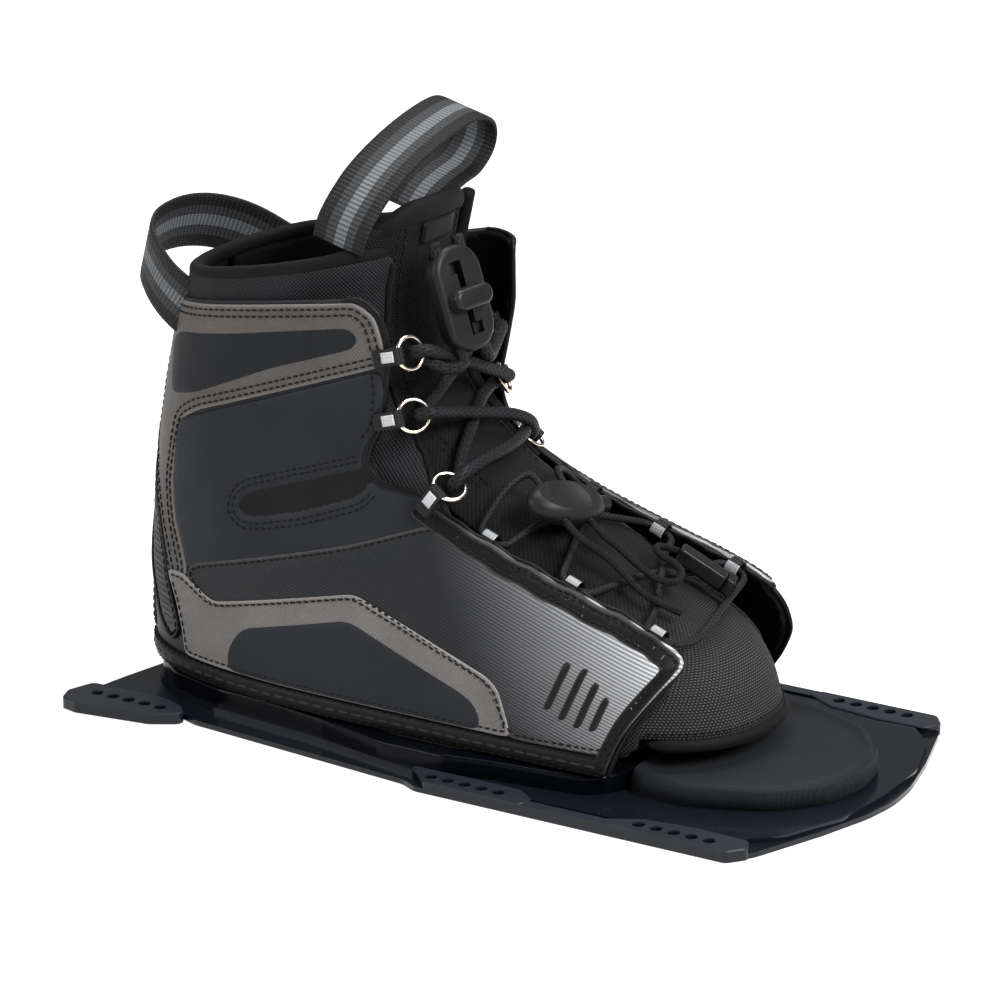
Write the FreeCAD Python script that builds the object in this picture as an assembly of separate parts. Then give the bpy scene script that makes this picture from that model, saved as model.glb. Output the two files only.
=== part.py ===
import FreeCAD, Part
import math
import os

V = FreeCAD.Vector

# ---------------------------------------------------------------- driving dimensions (mm)
# Frame: +X towards the toe, +Z up, origin in the middle of the plate's bottom face.
PLATE_WIDTH = 176.0
EAR_THICK = 5.0
SKIRT_THICK = 2.2
DECK_TOP = 4.2

HOLE_PITCH = 8.0
HOLE_COUNT = 5
HOLE_R = 2.65
HOLE_EDGE = 6.5
REAR_HOLE_EDGE = 13.5
FRONT_ROW_X = 121.0
MIDDLE_ROW_X = 24.0
REAR_ROW_X = -146.0
SCREW_X = (-120.0, -40.0, 40.0)

FRAME_TOP = 12.0
SHELL_THICK = 2.5
PANEL_THICK = 1.2
WELT_THICK = 2.2
WELT_TOP = 21.0
LINER_GAP = 0.4
LAYER_GAP = 0.4
LINER_THICK = 5.0
LINER_FLOOR = 2.5
INSOLE_THICK = 4.0

# The boot by height: z, back x, front x of the upper, front x of the bootie, half width.
LEVELS = [
    (4.0, -165.0, 118.0, 118.0, 64.0),
    (20.0, -168.0, 118.0, 118.0, 64.0),
    (40.0, -170.0, 118.0, 113.0, 61.0),
    (50.0, -171.0, 116.0, 107.0, 59.0),
    (57.0, -171.0, 112.0, 101.0, 57.0),
    (65.0, -170.5, 103.0, 84.0, 55.0),
    (72.0, -170.0, 90.0, 71.0, 53.5),
    (80.0, -169.5, 60.0, 58.0, 52.0),
    (92.0, -168.0, 20.0, 32.0, 49.5),
    (108.0, -165.5, -17.0, 3.0, 48.0),
    (122.0, -162.5, -28.0, -17.0, 47.5),
    (134.0, -160.0, -31.0, -31.0, 48.0),
    (150.0, -156.5, -28.0, -41.0, 49.0),
    (168.0, -152.0, -25.0, -44.0, 50.0),
    (190.0, -148.0, -26.0, -43.0, 51.5),
    (228.0, -142.0, -26.0, -36.0, 53.0),
]
HEEL_BLUNTNESS = 2.9
UPPER_BLUNTNESS = 6.0
TOE_BLUNTNESS = 2.6
TONGUE_BLUNTNESS = 2.3
SECTION_POINTS = 28

# Heights along the boot, in side view (x, z).
SHELL_TOP = [(-190, 161), (-152, 165), (-110, 173), (-60, 182), (-40, 186), (-20, 186)]
COLLAR_TOP = [(-190, 178), (-144, 181), (-110, 188), (-74, 197), (-55, 203), (-20, 209)]
LINER_TOP = [(-190, 168), (-150, 171), (-110, 179), (-60, 189), (-20, 193)]
TONGUE_TOP = [(-80, 200), (-60, 205), (-50, 212), (-44.5, 217), (-41, 222), (-20, 222)]
TOE_EDGE = [(78, 0), (79, 13), (84, 27), (91, 38), (104, 56), (112, 66), (118, 90)]
THROAT_LATERAL = -42.0
THROAT_MEDIAL = 39.0
THROAT_BACK_X = -78.0

RING_R = 6.6
RING_WIRE_R = 0.9
UPPER_LACE_R = 2.6
LOWER_LACE_R = 1.5
WEB_WIDTH = 25.0
WEB_THICK = 1.8
HEEL_LOOP_Z = 168.0
FRONT_LOOP_X = -76.0


# ---------------------------------------------------------------- small helpers
def save(shape, name):
    """Write one sub-part and print its size, so that a bad solid shows at once."""
    shape.exportStep("parts/%s.step" % name)
    box = shape.BoundBox
    print("%-24s valid %s solids %d volume %.0f  x %.1f..%.1f y %.1f..%.1f z %.1f..%.1f" % (
        name, shape.isValid(), len(shape.Solids), shape.Volume,
        box.XMin, box.XMax, box.YMin, box.YMax, box.ZMin, box.ZMax))


def box(x0, x1, y0, y1, z0, z1):
    return Part.makeBox(x1 - x0, y1 - y0, z1 - z0, V(x0, y0, z0))


def rounded_wire(points, radius):
    """A closed outline whose corners are tangent arcs; radius is one value or one per point."""
    count = len(points)
    radii = radius if isinstance(radius, (list, tuple)) else [radius] * count
    starts, middles, ends = [], [], []
    for i in range(count):
        here = points[i]
        before = points[i - 1] - here
        after = points[(i + 1) % count] - here
        room = 0.48 * min(before.Length, after.Length)
        before.normalize()
        after.normalize()
        half = before.getAngle(after) / 2
        reach = min(room, radii[i] / math.tan(half)) if half < 1.55 else 0.0
        starts.append(here + before * reach)
        ends.append(here + after * reach)
        bisector = before + after
        if reach > 0.02 and bisector.Length > 1e-6:
            bisector.normalize()
            r = reach * math.tan(half)
            middles.append(here + bisector * (r / math.sin(half) - r))
        else:
            middles.append(None)
    edges = []
    for i in range(count):
        if middles[i] is not None:
            edges.append(Part.Arc(starts[i], middles[i], ends[i]).toShape())
        following = starts[(i + 1) % count]
        if (following - ends[i]).Length > 1e-4:
            edges.append(Part.LineSegment(ends[i], following).toShape())
    return Part.Wire(edges)


def plan_solid(outline, z0, z1, radius):
    """Extrude an outline given as (x, y) pairs from z0 to z1."""
    wire = rounded_wire([V(x, y, z0) for x, y in outline], radius)
    return Part.Face(wire).extrude(V(0, 0, z1 - z0))


def side_prism(outline, y0, y1, radius):
    """Extrude an outline given as (x, z) pairs from y0 to y1."""
    wire = rounded_wire([V(x, y0, z) for x, z in outline], radius)
    return Part.Face(wire).extrude(V(0, y1 - y0, 0))


def below(profile, radius=12.0):
    """Everything under a line that runs back to front in side view."""
    floor, front = -20.0, 170.0
    outline = [(profile[0][0], floor)] + profile + [(front, profile[-1][1]), (front, floor)]
    radii = [0] + [radius] * len(profile) + [0, 0]
    return side_prism(outline, -150, 150, radii)


def mirrored(points):
    """Add the other side of a half outline that starts and ends near y = 0."""
    return list(points) + [(x, -y) for x, y in reversed(points) if abs(y) > 0.01]


def level_at(z):
    """Back x, upper front x, bootie front x and half width at a height."""
    rows = LEVELS
    z = min(max(z, rows[0][0]), rows[-1][0])
    i = 0
    while i < len(rows) - 2 and rows[i + 1][0] < z:
        i += 1
    t = (z - rows[i][0]) / (rows[i + 1][0] - rows[i][0])
    return [rows[i][k] + (rows[i + 1][k] - rows[i][k]) * t for k in range(1, 5)]


def section_size(z, inset, bootie):
    """Middle x, half length, half width and front bluntness of a level curve."""
    back, upper_front, bootie_front, half_width = level_at(z)
    if not bootie:
        return ((back + upper_front) / 2, (upper_front - back) / 2 - inset,
                half_width - inset, UPPER_BLUNTNESS)
    back += SHELL_THICK + LINER_GAP
    half_width -= SHELL_THICK + LINER_GAP
    share = min(max((z - 50.0) / 40.0, 0.0), 1.0)
    bluntness = TOE_BLUNTNESS + (TONGUE_BLUNTNESS - TOE_BLUNTNESS) * share
    return (back + bootie_front) / 2, (bootie_front - back) / 2 - inset, half_width - inset, bluntness


def section(z, inset, bootie):
    """One closed level curve of the upper or of the bootie, moved inwards by inset."""
    middle, half_length, half_width, bluntness = section_size(z, inset, bootie)
    points = []
    for k in range(SECTION_POINTS):
        angle = 2 * math.pi * k / SECTION_POINTS
        c, s = math.cos(angle), math.sin(angle)
        n = bluntness if c > 0 else HEEL_BLUNTNESS
        r = (abs(c) ** n + abs(s) ** n) ** (-1 / n)
        points.append(V(middle + half_length * r * c, half_width * r * s, z))
    curve = Part.BSplineCurve()
    curve.interpolate(points, PeriodicFlag=True)
    return Part.Wire(curve.toShape())


def body_loft(inset, z0, z1, bootie=False):
    """The whole boot as one solid between two heights."""
    count = max(3, int(round((z1 - z0) / 11.0)))
    heights = [z0 + (z1 - z0) * k / count for k in range(count + 1)]
    return Part.makeLoft([section(z, inset, bootie) for z in heights], True, False)


def layer(outer, inner, z0, z1, bootie=False):
    """A wall that follows the boot, open above and below."""
    solid = body_loft(outer, z0, z1, bootie)
    core = body_loft(inner, z0 - 6, z1 + 6, bootie)
    return solid.cut(core)


def tube(points, radius):
    """A cord: straight runs joined by tangent arcs, as large as the runs allow."""
    corners = []
    for i in range(1, len(points) - 1):
        before = points[i - 1] - points[i]
        after = points[i + 1] - points[i]
        reach = 0.45 * min(before.Length, after.Length)
        before.normalize()
        after.normalize()
        half = before.getAngle(after) / 2
        bisector = before + after
        bisector.normalize()
        r = reach * math.tan(half)
        corners.append((points[i] + before * reach,
                        points[i] + bisector * (r / math.sin(half) - r),
                        points[i] + after * reach, r))
    edges = []
    place = points[0]
    for start, middle, end, r in corners:
        edges.append(Part.LineSegment(place, start).toShape())
        edges.append(Part.Arc(start, middle, end).toShape())
        place = end
    edges.append(Part.LineSegment(place, points[-1]).toShape())
    path = Part.Wire(edges)
    direction = points[1] - points[0]
    ring = Part.Wire(Part.makeCircle(radius, points[0], direction))
    solid = path.makePipeShell([ring], True, False)
    ideal = math.pi * radius ** 2 * path.Length
    print("   cord length %.1f, volume %.3f of ideal, radii %s" % (
        path.Length, solid.Volume / ideal, " ".join("%.1f" % c[3] for c in corners)))
    return solid


def group(shapes):
    return Part.makeCompound(shapes)


# ---------------------------------------------------------------- base plate
def hole_row(centre_x, y):
    first = centre_x - HOLE_PITCH * (HOLE_COUNT - 1) / 2
    return [Part.makeCylinder(HOLE_R, EAR_THICK + 4, V(first + HOLE_PITCH * k, y, -2))
            for k in range(HOLE_COUNT)]


def ear(outline, side, radius):
    points = [(x, side * abs(y)) for x, y in outline]
    pad = plan_solid(points, 0, EAR_THICK, radius)
    top = [e for e in pad.Edges if e.BoundBox.ZMin > EAR_THICK - 0.01]
    return pad.makeChamfer(0.5, top)


def base_plate():
    """One moulding: a thin skirt, a deck under the boot, and six drilled ears."""
    half_w = PLATE_WIDTH / 2
    skirt = mirrored([(-165, 0), (-164, -25), (-168, -46), (-171, -66), (-134, -66), (-113, -73.5),
                      (-4, -84), (4, -half_w), (148, -half_w), (155, -76), (166, -44),
                      (173, -18), (175, 0)])
    skirt_radii = [0, 20, 20, 6, 10, 10, 10, 6, 8, 30, 60, 60, 60]
    plate = plan_solid(skirt, 0, SKIRT_THICK, skirt_radii + skirt_radii[-2:0:-1])
    deck = mirrored([(-160, 0), (-158, -40), (-114, -61), (-60, -67), (-2, -78), (60, -80),
                     (140, -78), (158, -60), (169, -30), (171, 0)])
    plate = plate.fuse(plan_solid(deck, 0, DECK_TOP, 18))
    rear = [(-175, -78), (-172, -86), (-164, -88), (-130, -83), (-117, -75),
            (-124, -68), (-136, -64), (-171, -65)]
    middle = [(2, -82), (8, -88), (54, -88), (55, -80), (46, -74), (-8, -74)]
    front = [(88, -84), (94, -88), (148, -88), (154, -80), (150, -73), (127, -72), (104, -75)]
    band = [(50, -88), (96, -88), (96, -82), (50, -82)]
    holes = []
    for side in (-1, 1):
        for outline in (rear, middle, front):
            plate = plate.fuse(ear(outline, side, 3.5))
        plate = plate.fuse(plan_solid([(x, side * abs(y)) for x, y in band], 0, EAR_THICK - 0.5, 1))
        holes += hole_row(REAR_ROW_X, side * (half_w - REAR_HOLE_EDGE))
        holes += hole_row(MIDDLE_ROW_X, side * (half_w - HOLE_EDGE))
        holes += hole_row(FRONT_ROW_X, side * (half_w - HOLE_EDGE))
    plate = plate.removeSplitter()
    for x in SCREW_X:
        holes.append(Part.makeCylinder(4.3, 1.3, V(x, 0, -1)))
        holes.append(Part.makeCone(4.3, 2.2, 2.1, V(x, 0, 0.25)))
        holes.append(Part.makeCylinder(2.2, 12, V(x, 0, 0)))
    return plate.cut(group(holes))


def frame_screws():
    """Countersunk screws that hold the sole frame to the plate from below."""
    screws = []
    for x in SCREW_X:
        head = Part.makeCone(4.0, 2.0, 2.0, V(x, 0, 0.2))
        shank = Part.makeCylinder(2.0, 7.0, V(x, 0, 0.5))
        screws.append(head.fuse(shank))
    return group(screws)


def frame_outline(inset):
    half = [(-163, 0), (-157, -36), (-140, -50), (-111, -59), (-88, -60), (-55, -66), (-21, -74),
            (8, -74), (30, -70), (79, -64)]
    points = [(x + inset * (1 if x < -130 else 0), y + (inset if y < 0 else 0)) for x, y in half]
    points[-1] = (80 - inset, points[-1][1])
    return points + [(x, -y) for x, y in reversed(points) if abs(y) > 0.01]


def sole_frame():
    """The tray that rises from the plate and carries the boot's edge."""
    count = len(frame_outline(0))
    radii = [30] + [18] * (count - 1)
    tray = plan_solid(frame_outline(0), DECK_TOP, FRAME_TOP, radii)
    top = [e for e in tray.Edges if e.BoundBox.ZMin > FRAME_TOP - 0.01]
    tray = tray.makeFillet(1.5, top)
    pocket = plan_solid(frame_outline(9), FRAME_TOP - 3.2, FRAME_TOP + 4, radii)
    tray = tray.cut(pocket)
    holes = [Part.makeCylinder(2.1, 12, V(x, 0, DECK_TOP - 2)) for x in SCREW_X]
    return tray.cut(group(holes))


def sole_board():
    outline = frame_outline(9.8)
    radii = [30] + [18] * (len(outline) - 1)
    return plan_solid(outline, FRAME_TOP - 3.0, FRAME_TOP - 0.2, radii)


def toe_pad():
    """The soft footbed end in front of the boot, with a raised round rim."""
    rim = mirrored([(81, 0), (81, -52), (108, -55), (140, -42), (157, -22), (161, 0)])
    pad = plan_solid(rim, DECK_TOP, 16.0, [0, 6, 25, 30, 30, 60, 30, 30, 25, 6])
    top = [e for e in pad.Edges if e.BoundBox.ZMin > 15.9 and e.BoundBox.XMax > 85]
    pad = pad.makeFillet(4.0, top)
    dish = mirrored([(70, 0), (70, -45), (106, -48), (134, -37), (149, -20), (152.5, 0)])
    hollow = plan_solid(dish, 11.0, 20.0, [0, 6, 25, 30, 30, 60, 30, 30, 25, 6])
    return pad.cut(hollow)


# ---------------------------------------------------------------- boot layers
def throat(lateral, medial, z0=20.0):
    """The open strip over the instep and up the front of the cuff."""
    outline = [(THROAT_BACK_X, lateral), (140, lateral - 5), (140, medial + 5),
               (THROAT_BACK_X, medial)]
    return plan_solid(outline, z0, 260, 0)


def upper_wall(outer, inner, z0):
    """The sewn upper, cut to its top line, its toe edge and the open throat."""
    wall = layer(outer, inner, z0, 200)
    wall = wall.common(below(SHELL_TOP))
    outline = [(-200, -20), (78, -20)] + TOE_EDGE + [(118, 230), (-200, 230)]
    behind_toe = side_prism(outline, -150, 150, 0)
    return wall.common(behind_toe).cut(throat(THROAT_LATERAL, THROAT_MEDIAL))


def half(shape, side):
    y0, y1 = (-150, 0) if side < 0 else (0, 150)
    return shape.common(box(-300, 300, y0, y1, -20, 300))


PANELS = {
    # name: (outline in side view, corner radius)
    "cuff_panel": ([(-145, 112), (-148, 158), (-140, 168), (-100, 178), (-62, 184), (-45, 182),
                    (-40, 172), (-42, 152), (-80, 142), (-138, 124)], 4),
    "ankle_panel": ([(-140, 121), (-80, 139), (-42, 150), (-45, 128), (-104, 108), (-118, 96),
                     (-112, 80), (-96, 80), (-42, 103), (-20, 105), (-12, 98), (-80, 74),
                     (-136, 60), (-146, 90)], 5),
    "forefoot_panel": ([(-134, 57), (-82, 72), (-14, 97), (15, 91), (62, 76), (99, 64), (92, 40),
                        (82, 23), (36, 23), (12, 36), (-24, 57), (-48, 63), (-114, 49), (-126, 52)],
                       4),
    "lower_panel": ([(-138, 54), (-129, 50), (-114, 46), (-50, 60), (-27, 54), (10, 34), (32, 22),
                     (-132, 22), (-134, 30), (-140, 42)], 3),
}


def side_panel(name, skin, side):
    outline, radius = PANELS[name]
    y0, y1 = (-150, -8) if side < 0 else (8, 150)
    return skin.common(side_prism(outline, y0, y1, radius))


def heel_strip(skin, side):
    """The narrow ribbed strip that bends round the back of the heel."""
    outline = [(-190, 112), (-166, 112), (-160, 80), (-144, 46), (-136, 30), (-142, 24),
               (-152, 30), (-162, 52), (-172, 84), (-190, 100)]
    y0, y1 = (-150, -8) if side < 0 else (8, 150)
    return skin.common(side_prism(outline, y0, y1, 4))


def heel_counter(skin):
    """The moulded cup low on the heel, between the two ribbed strips."""
    outline = [(-200, 22), (-160, 22), (-156, 28), (-166, 52), (-176, 84), (-200, 96)]
    return skin.common(side_prism(outline, -150, 150, 3))


def liner():
    """The padded bootie: walls, a thin floor, an open throat and an open toe."""
    wall = layer(0, LINER_THICK, FRAME_TOP, 226, True)
    wall = wall.common(body_loft(SHELL_THICK + 0.3, FRAME_TOP - 2, 228))
    wall = wall.common(below(LINER_TOP)).cut(throat(-36, 33, 24.0))
    wall = wall.cut(box(86, 140, -60, 60, FRAME_TOP - 1, 24.4))
    floor = body_loft(0, FRAME_TOP, FRAME_TOP + LINER_FLOOR, True)
    floor = floor.common(box(-200, 80, -80, 80, 0, 40))
    return wall.fuse(floor)


def liner_collar():
    """The padded roll round the ankle opening, above the liner wall."""
    wall = layer(-1.0, LINER_THICK + 2.5, 150, 226, True)
    rising = [(x, z + 0.2) for x, z in LINER_TOP]
    return wall.common(below(COLLAR_TOP)).cut(below(rising)).cut(throat(-36, 33))


def insole():
    base = FRAME_TOP + LINER_FLOOR
    pad = body_loft(LINER_THICK + 0.3, base, base + INSOLE_THICK, True)
    return pad.common(box(-200, 80.5, -80, 80, 0, 60))


def tongue():
    """The padded tongue from the shin down the instep, and the vamp over the toes."""
    wall = layer(0, LINER_THICK, 24, 226, True)
    strip = wall.common(throat(-35.6, 32.6, 24.4))
    return strip.common(below(TONGUE_TOP, 6.0))


def toe_binding():
    """The bound edge of the vamp, over the open toe."""
    band = layer(-1.2, LINER_THICK + 0.8, 19.0, 24.2, True)
    return band.common(box(86.3, 140, -60, 60, 0, 60))


def tongue_label():
    """The blank woven label near the tongue's top edge."""
    skin = layer(-1.6, -LAYER_GAP, 203, 213, True)
    return skin.common(box(-60, 0, -12, 10, 190, 220))


# ---------------------------------------------------------------- lacing
RINGS = {
    # side, index: centre of the ring, outward normal of its plane, direction back to its tab
    (-1, 1): (V(-27.3, -41, 166.5), V(0.93, -0.25, 0.27), V(-0.35, -0.93, 0)),
    (-1, 2): (V(-26.5, -40, 140), V(0.77, -0.56, 0.3), V(-0.35, -0.9, 0)),
    (-1, 3): (V(-7.5, -43, 114), V(0.5, -0.3, 0.8), V(-0.2, -0.95, -0.1)),
    (1, 1): (V(-34.5, 33.5, 158.5), V(0.85, 0.42, 0.3), V(-0.2, 0.95, 0)),
    (1, 2): (V(-30.5, 34.5, 136), V(0.8, 0.4, 0.45), V(-0.2, 0.95, 0)),
    (1, 3): (V(-21.6, 42, 110.6), V(0.6, 0.25, 0.76), V(-0.2, 0.95, 0)),
}
UPPER_LACE = [
    (-30.8, -18, 206.5), (-15.7, -18, 157), (-20, -27, 157), (-30.8, -33.9, 165),
    (-27.7, -39.8, 166.5), (-21.9, -36.3, 167.6), (-24.2, 30.9, 138.8), (-30, 33.4, 136.1),
    (-31.9, 27, 134.5), (-27, 12, 134), (-20, -6, 129), (-14, -23, 121),
    (-8.3, -35.8, 111.3), (-7.2, -41.9, 114.2), (-3.5, -38.7, 119), (-4, -22, 120.5),
    (-6, -2, 119), (-11, 18, 118), (-16, 29.5, 118), (-21.8, 35, 108.6), (-21.3, 40.9, 110.7),
    (-17, 37.4, 114.8), (-13, 28.5, 122), (-14, 16, 128), (-17, -2, 132.5), (-20, -20, 137.5),
    (-19.3, -37.7, 141.9), (-25.8, -39, 140.1), (-26.7, -32.3, 139), (-36, 26, 157.5),
    (-34, 32.4, 158.6), (-27.8, 30, 160.4), (-20, 10, 156), (-12.5, -5.8, 157),
    (-27.8, -5.8, 207.5),
]
LOWER_TABS = {
    (-1, 1): V(9, -38.5, 92.5), (-1, 2): V(49, -39.5, 80.5), (-1, 3): V(89, -40.5, 67.5),
    (1, 1): V(12, 35.5, 92.5), (1, 2): V(45, 36, 82), (1, 3): V(80, 36.5, 72),
}
LOWER_LACE = [
    (36.6, -24.8, 101.8), (11.7, -12.7, 116.1), (7, -25, 110), (3, -38.5, 94.7),
    (15, -38.5, 90.4), (21, -19, 97.5), (27, -2, 97.5), (33.5, 15, 92), (39, 36, 84.2),
    (51, 36, 79.8), (59, 15, 80.5), (68.3, -2.5, 80.9), (76, -20, 69.5), (83, -40.5, 69.7),
    (95, -40.5, 65.3), (95, -20, 60.5), (93, 0, 65.5), (87.5, 16, 64.5), (86, 36.5, 69.8),
    (74, 36.5, 74.2), (69.5, 15, 73.5), (65.5, -2, 79.7), (59, -19, 78.5), (55, -39.5, 78.3),
    (43, -39.5, 82.7), (37, -19, 90.5), (30.5, -2, 94.8), (24, 15, 99), (18, 35.5, 90.3),
    (6, 35.5, 94.7), (8, 20, 107), (16.1, -0.7, 113.7), (41, -12.8, 99.4),
]


def ring_axes(key):
    """Centre, plane normal and square-on direction to the tab."""
    centre, out, back = RINGS[key]
    out = V(out)
    out.normalize()
    back = back - out * back.dot(out)
    back.normalize()
    return centre, out, back


def rings(side):
    shapes = []
    for index in (1, 2, 3):
        centre, out, back = ring_axes((side, index))
        shapes.append(Part.makeTorus(RING_R, RING_WIRE_R, centre, out))
    return group(shapes)


def block(centre, along, across, length, width, thick):
    """A box whose directions are given."""
    out = along.cross(across)
    corner = centre - along * (length / 2) - across * (width / 2) - out * (thick / 2)
    a, b = along * length, across * width
    wire = Part.makePolygon([corner, corner + a, corner + a + b, corner + b, corner])
    return Part.Face(wire).extrude(out * thick)


def ring_tabs(side, walls):
    """Folded webbing tabs that hold the rings to the edge of the upper."""
    shapes = []
    for index in (1, 2, 3):
        centre, out, back = ring_axes((side, index))
        across = out.cross(back)
        eye = centre + back * RING_R
        sleeve = Part.makeCylinder(2.2, 7.0, eye - across * 3.5, across)
        rear = V(-0.95, side * 0.1, -0.1 if index < 3 else -0.3)
        rear = rear - across * rear.dot(across)
        rear.normalize()
        strap = block(eye + rear * 6.5, rear, across, 11.0, 7.0, 1.8)
        groove = Part.makeTorus(RING_R, RING_WIRE_R + 0.15, centre, out)
        tab = sleeve.fuse(strap).cut(groove)
        for wall in walls:
            tab = tab.cut(wall)
        shapes.append(max(tab.Solids, key=lambda solid: solid.Volume))
    return group(shapes)


def lace_tabs(side, walls):
    """Short webbing loops under the edge of the forefoot panels."""
    shapes = []
    for index in (1, 2, 3):
        centre = LOWER_TABS[(side, index)]
        along = V(0.94, 0, -0.34)
        outer = Part.makeCylinder(4.2, 5.0, centre - along * 2.5, along)
        inner = Part.makeCylinder(3.3, 7.0, centre - along * 3.5, along)
        loop = outer.cut(inner)
        for wall in walls:
            loop = loop.cut(wall)
        shapes.append(max(loop.Solids, key=lambda solid: solid.Volume))
    return group(shapes)


def vectors(points):
    return [V(*point) for point in points]


# ---------------------------------------------------------------- lace locks
UPPER_LOCK_AT = V(-22.0, -12.0, 183.0)
UPPER_LOCK_UP = V(-0.30, 0.0, 0.954)
UPPER_LOCK_ACROSS = V(-0.24, -0.968, -0.075)
UPPER_LOCK_SIZE = (44.0, 25.0, 8.5)
LOWER_LOCK_AT = V(30.0, -14.5, 105.7)
LOWER_LOCK_ALONG = V(0.34, 0.92, -0.19)
LOWER_LOCK_UPHILL = V(-0.80, 0.39, 0.46)
LOWER_LOCK_SIZE = (38.0, 22.0, 11.0)


def unit_frame(along, across):
    """Three square unit vectors."""
    a = V(along)
    a.normalize()
    b = across - a * across.dot(a)
    b.normalize()
    return a, b, a.cross(b)


def place(shape, at, along, across):
    """Move a shape drawn at the origin so that X runs along and Y across."""
    a, b, c = unit_frame(along, across)
    matrix = FreeCAD.Matrix(a.x, b.x, c.x, at.x, a.y, b.y, c.y, at.y, a.z, b.z, c.z, at.z,
                            0, 0, 0, 1)
    moved = shape.copy()
    moved.Placement = FreeCAD.Placement(matrix)
    return moved


def oval(length, width, z0, z1, radius):
    half_l, half_w = length / 2, width / 2
    outline = [(-half_l, -half_w), (half_l, -half_w), (half_l, half_w), (-half_l, half_w)]
    return plan_solid(outline, z0, z1, radius)


def rim(shape, z):
    """The edges that lie flat at a height."""
    return [e for e in shape.Edges
            if abs(e.BoundBox.ZMin - z) < 0.01 and abs(e.BoundBox.ZMax - z) < 0.01]


def upper_lock_body():
    """Flat oblong lock: two lace channels and a slotted track for the knob."""
    length, width, thick = UPPER_LOCK_SIZE
    body = oval(length, width, -thick / 2, thick / 2, 11.5)
    body = body.makeFillet(2.6, rim(body, thick / 2) + rim(body, -thick / 2))
    channels = [Part.makeCylinder(3.0, length + 4, V(-length / 2 - 2, y, 0), V(1, 0, 0))
                for y in (-6.4, 6.4)]
    track = box(-15.5, 15.5, -1.6, 1.6, -0.5, thick)
    notches = [box(-15.5, -10.5, -4.8, 1.6, 1.6, thick), box(10.5, 15.5, -1.6, 4.8, 1.6, thick)]
    body = body.cut(group(channels)).cut(track)
    for notch in notches:
        body = body.cut(notch)
    return body


def upper_lock_knob():
    """The oval grip across the lock; its stem rides in the track."""
    grip = oval(9.0, 20.0, 4.6, 10.4, 4.2)
    grip = grip.makeFillet(2.0, rim(grip, 10.4))
    stem = box(-3.0, 3.0, -1.3, 1.3, 0.0, 5.0)
    return grip.fuse(stem)


def lens(length, width, thick):
    ball = Part.makeSphere(1.0)
    matrix = FreeCAD.Matrix()
    matrix.scale(V(length / 2, width / 2, thick / 2 + 2.0))
    return ball.transformGeometry(matrix)


def lower_lock_body():
    """Lens-shaped lock with a dished top, two lace channels and a button bore."""
    length, width, thick = LOWER_LOCK_SIZE
    body = lens(length, width, thick).common(box(-40, 40, -40, 40, -5.4, 4.6))
    dish = Part.makeSphere(34.0, V(0, 0, 4.6 + 32.6))
    body = body.cut(dish)
    channels = [Part.makeCylinder(1.9, width + 8, V(x, -width / 2 - 4, 0), V(0, 1, 0))
                for x in (-6.5, 6.5)]
    bore = Part.makeCylinder(3.7, 12.0, V(11.0, 0, -0.6), V(1, 0, 0))
    return body.cut(group(channels)).cut(bore)


def lower_lock_button():
    """The sprung button in the end of the lower lock."""
    return Part.makeCylinder(3.4, 8.6, V(13.2, 0, -0.6), V(1, 0, 0))


# ---------------------------------------------------------------- free lace tails
TAIL_FRONT = [
    (37.1, -25, 101.5), (43.5, -27.2, 97.5), (50, -23, 92), (56.5, -20, 86.5),
    (64.8, -21.8, 81), (72.7, -22.1, 76.1), (79.7, -18.7, 72.1), (85.7, -16.2, 69.6),
]
TAIL_REAR = [
    (41.5, -12.9, 99.1), (47, -14.5, 95.5), (52.5, -12, 91), (58, -11.5, 87), (65.2, -13.6, 84.2),
    (72.8, -14.8, 81.3), (78.6, -10.5, 79), (78.2, -2, 80.3), (72, 2.5, 82.6), (66.5, 0, 85.6),
    (61.5, 3, 87), (60.5, 9.5, 86.5), (66, 14, 83.5),
]
HANDLE_FROM = V(66.4, 14.2, 83.2)
HANDLE_TO = V(84, 21, 71.5)


def lace_handle():
    """The moulded pull that joins the lace ends."""
    along = HANDLE_TO - HANDLE_FROM
    length = along.Length
    a, b, c = unit_frame(along, V(-0.4, 0.9, 0))
    body = block(HANDLE_FROM + a * (length / 2), a, b, length, 9.0, 7.0)
    return body.makeFillet(1.4, body.Edges)


def handle_cap():
    along = HANDLE_TO - HANDLE_FROM
    a, b, c = unit_frame(along, V(-0.4, 0.9, 0))
    body = block(HANDLE_TO + a * 2.1, a, b, 4.0, 9.6, 7.6)
    return body.makeFillet(1.2, body.Edges)


# ---------------------------------------------------------------- pull loops
def strap_ring(outer_points, width, axis):
    """A webbing strip: a flat path, thickened and extruded across its width."""
    curve = Part.BSplineCurve()
    curve.interpolate(outer_points)
    normal = V(axis)
    normal.normalize()
    closed = []
    count = 40
    first, last = curve.FirstParameter, curve.LastParameter
    for k in range(count + 1):
        at = first + (last - first) * k / count
        tangent = curve.tangent(at)[0]
        aside = tangent.cross(normal)
        aside.normalize()
        closed.append((curve.value(at), aside))
    left = [p + a * (WEB_THICK / 2) for p, a in closed]
    right = [p - a * (WEB_THICK / 2) for p, a in closed]
    edge_a = Part.BSplineCurve()
    edge_a.interpolate(left)
    edge_b = Part.BSplineCurve()
    edge_b.interpolate(right)
    outline = Part.Wire([edge_a.toShape(), Part.LineSegment(left[-1], right[-1]).toShape(),
                         edge_b.toShape(), Part.LineSegment(right[0], left[0]).toShape()])
    return Part.Face(outline).extrude(normal * width)


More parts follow.
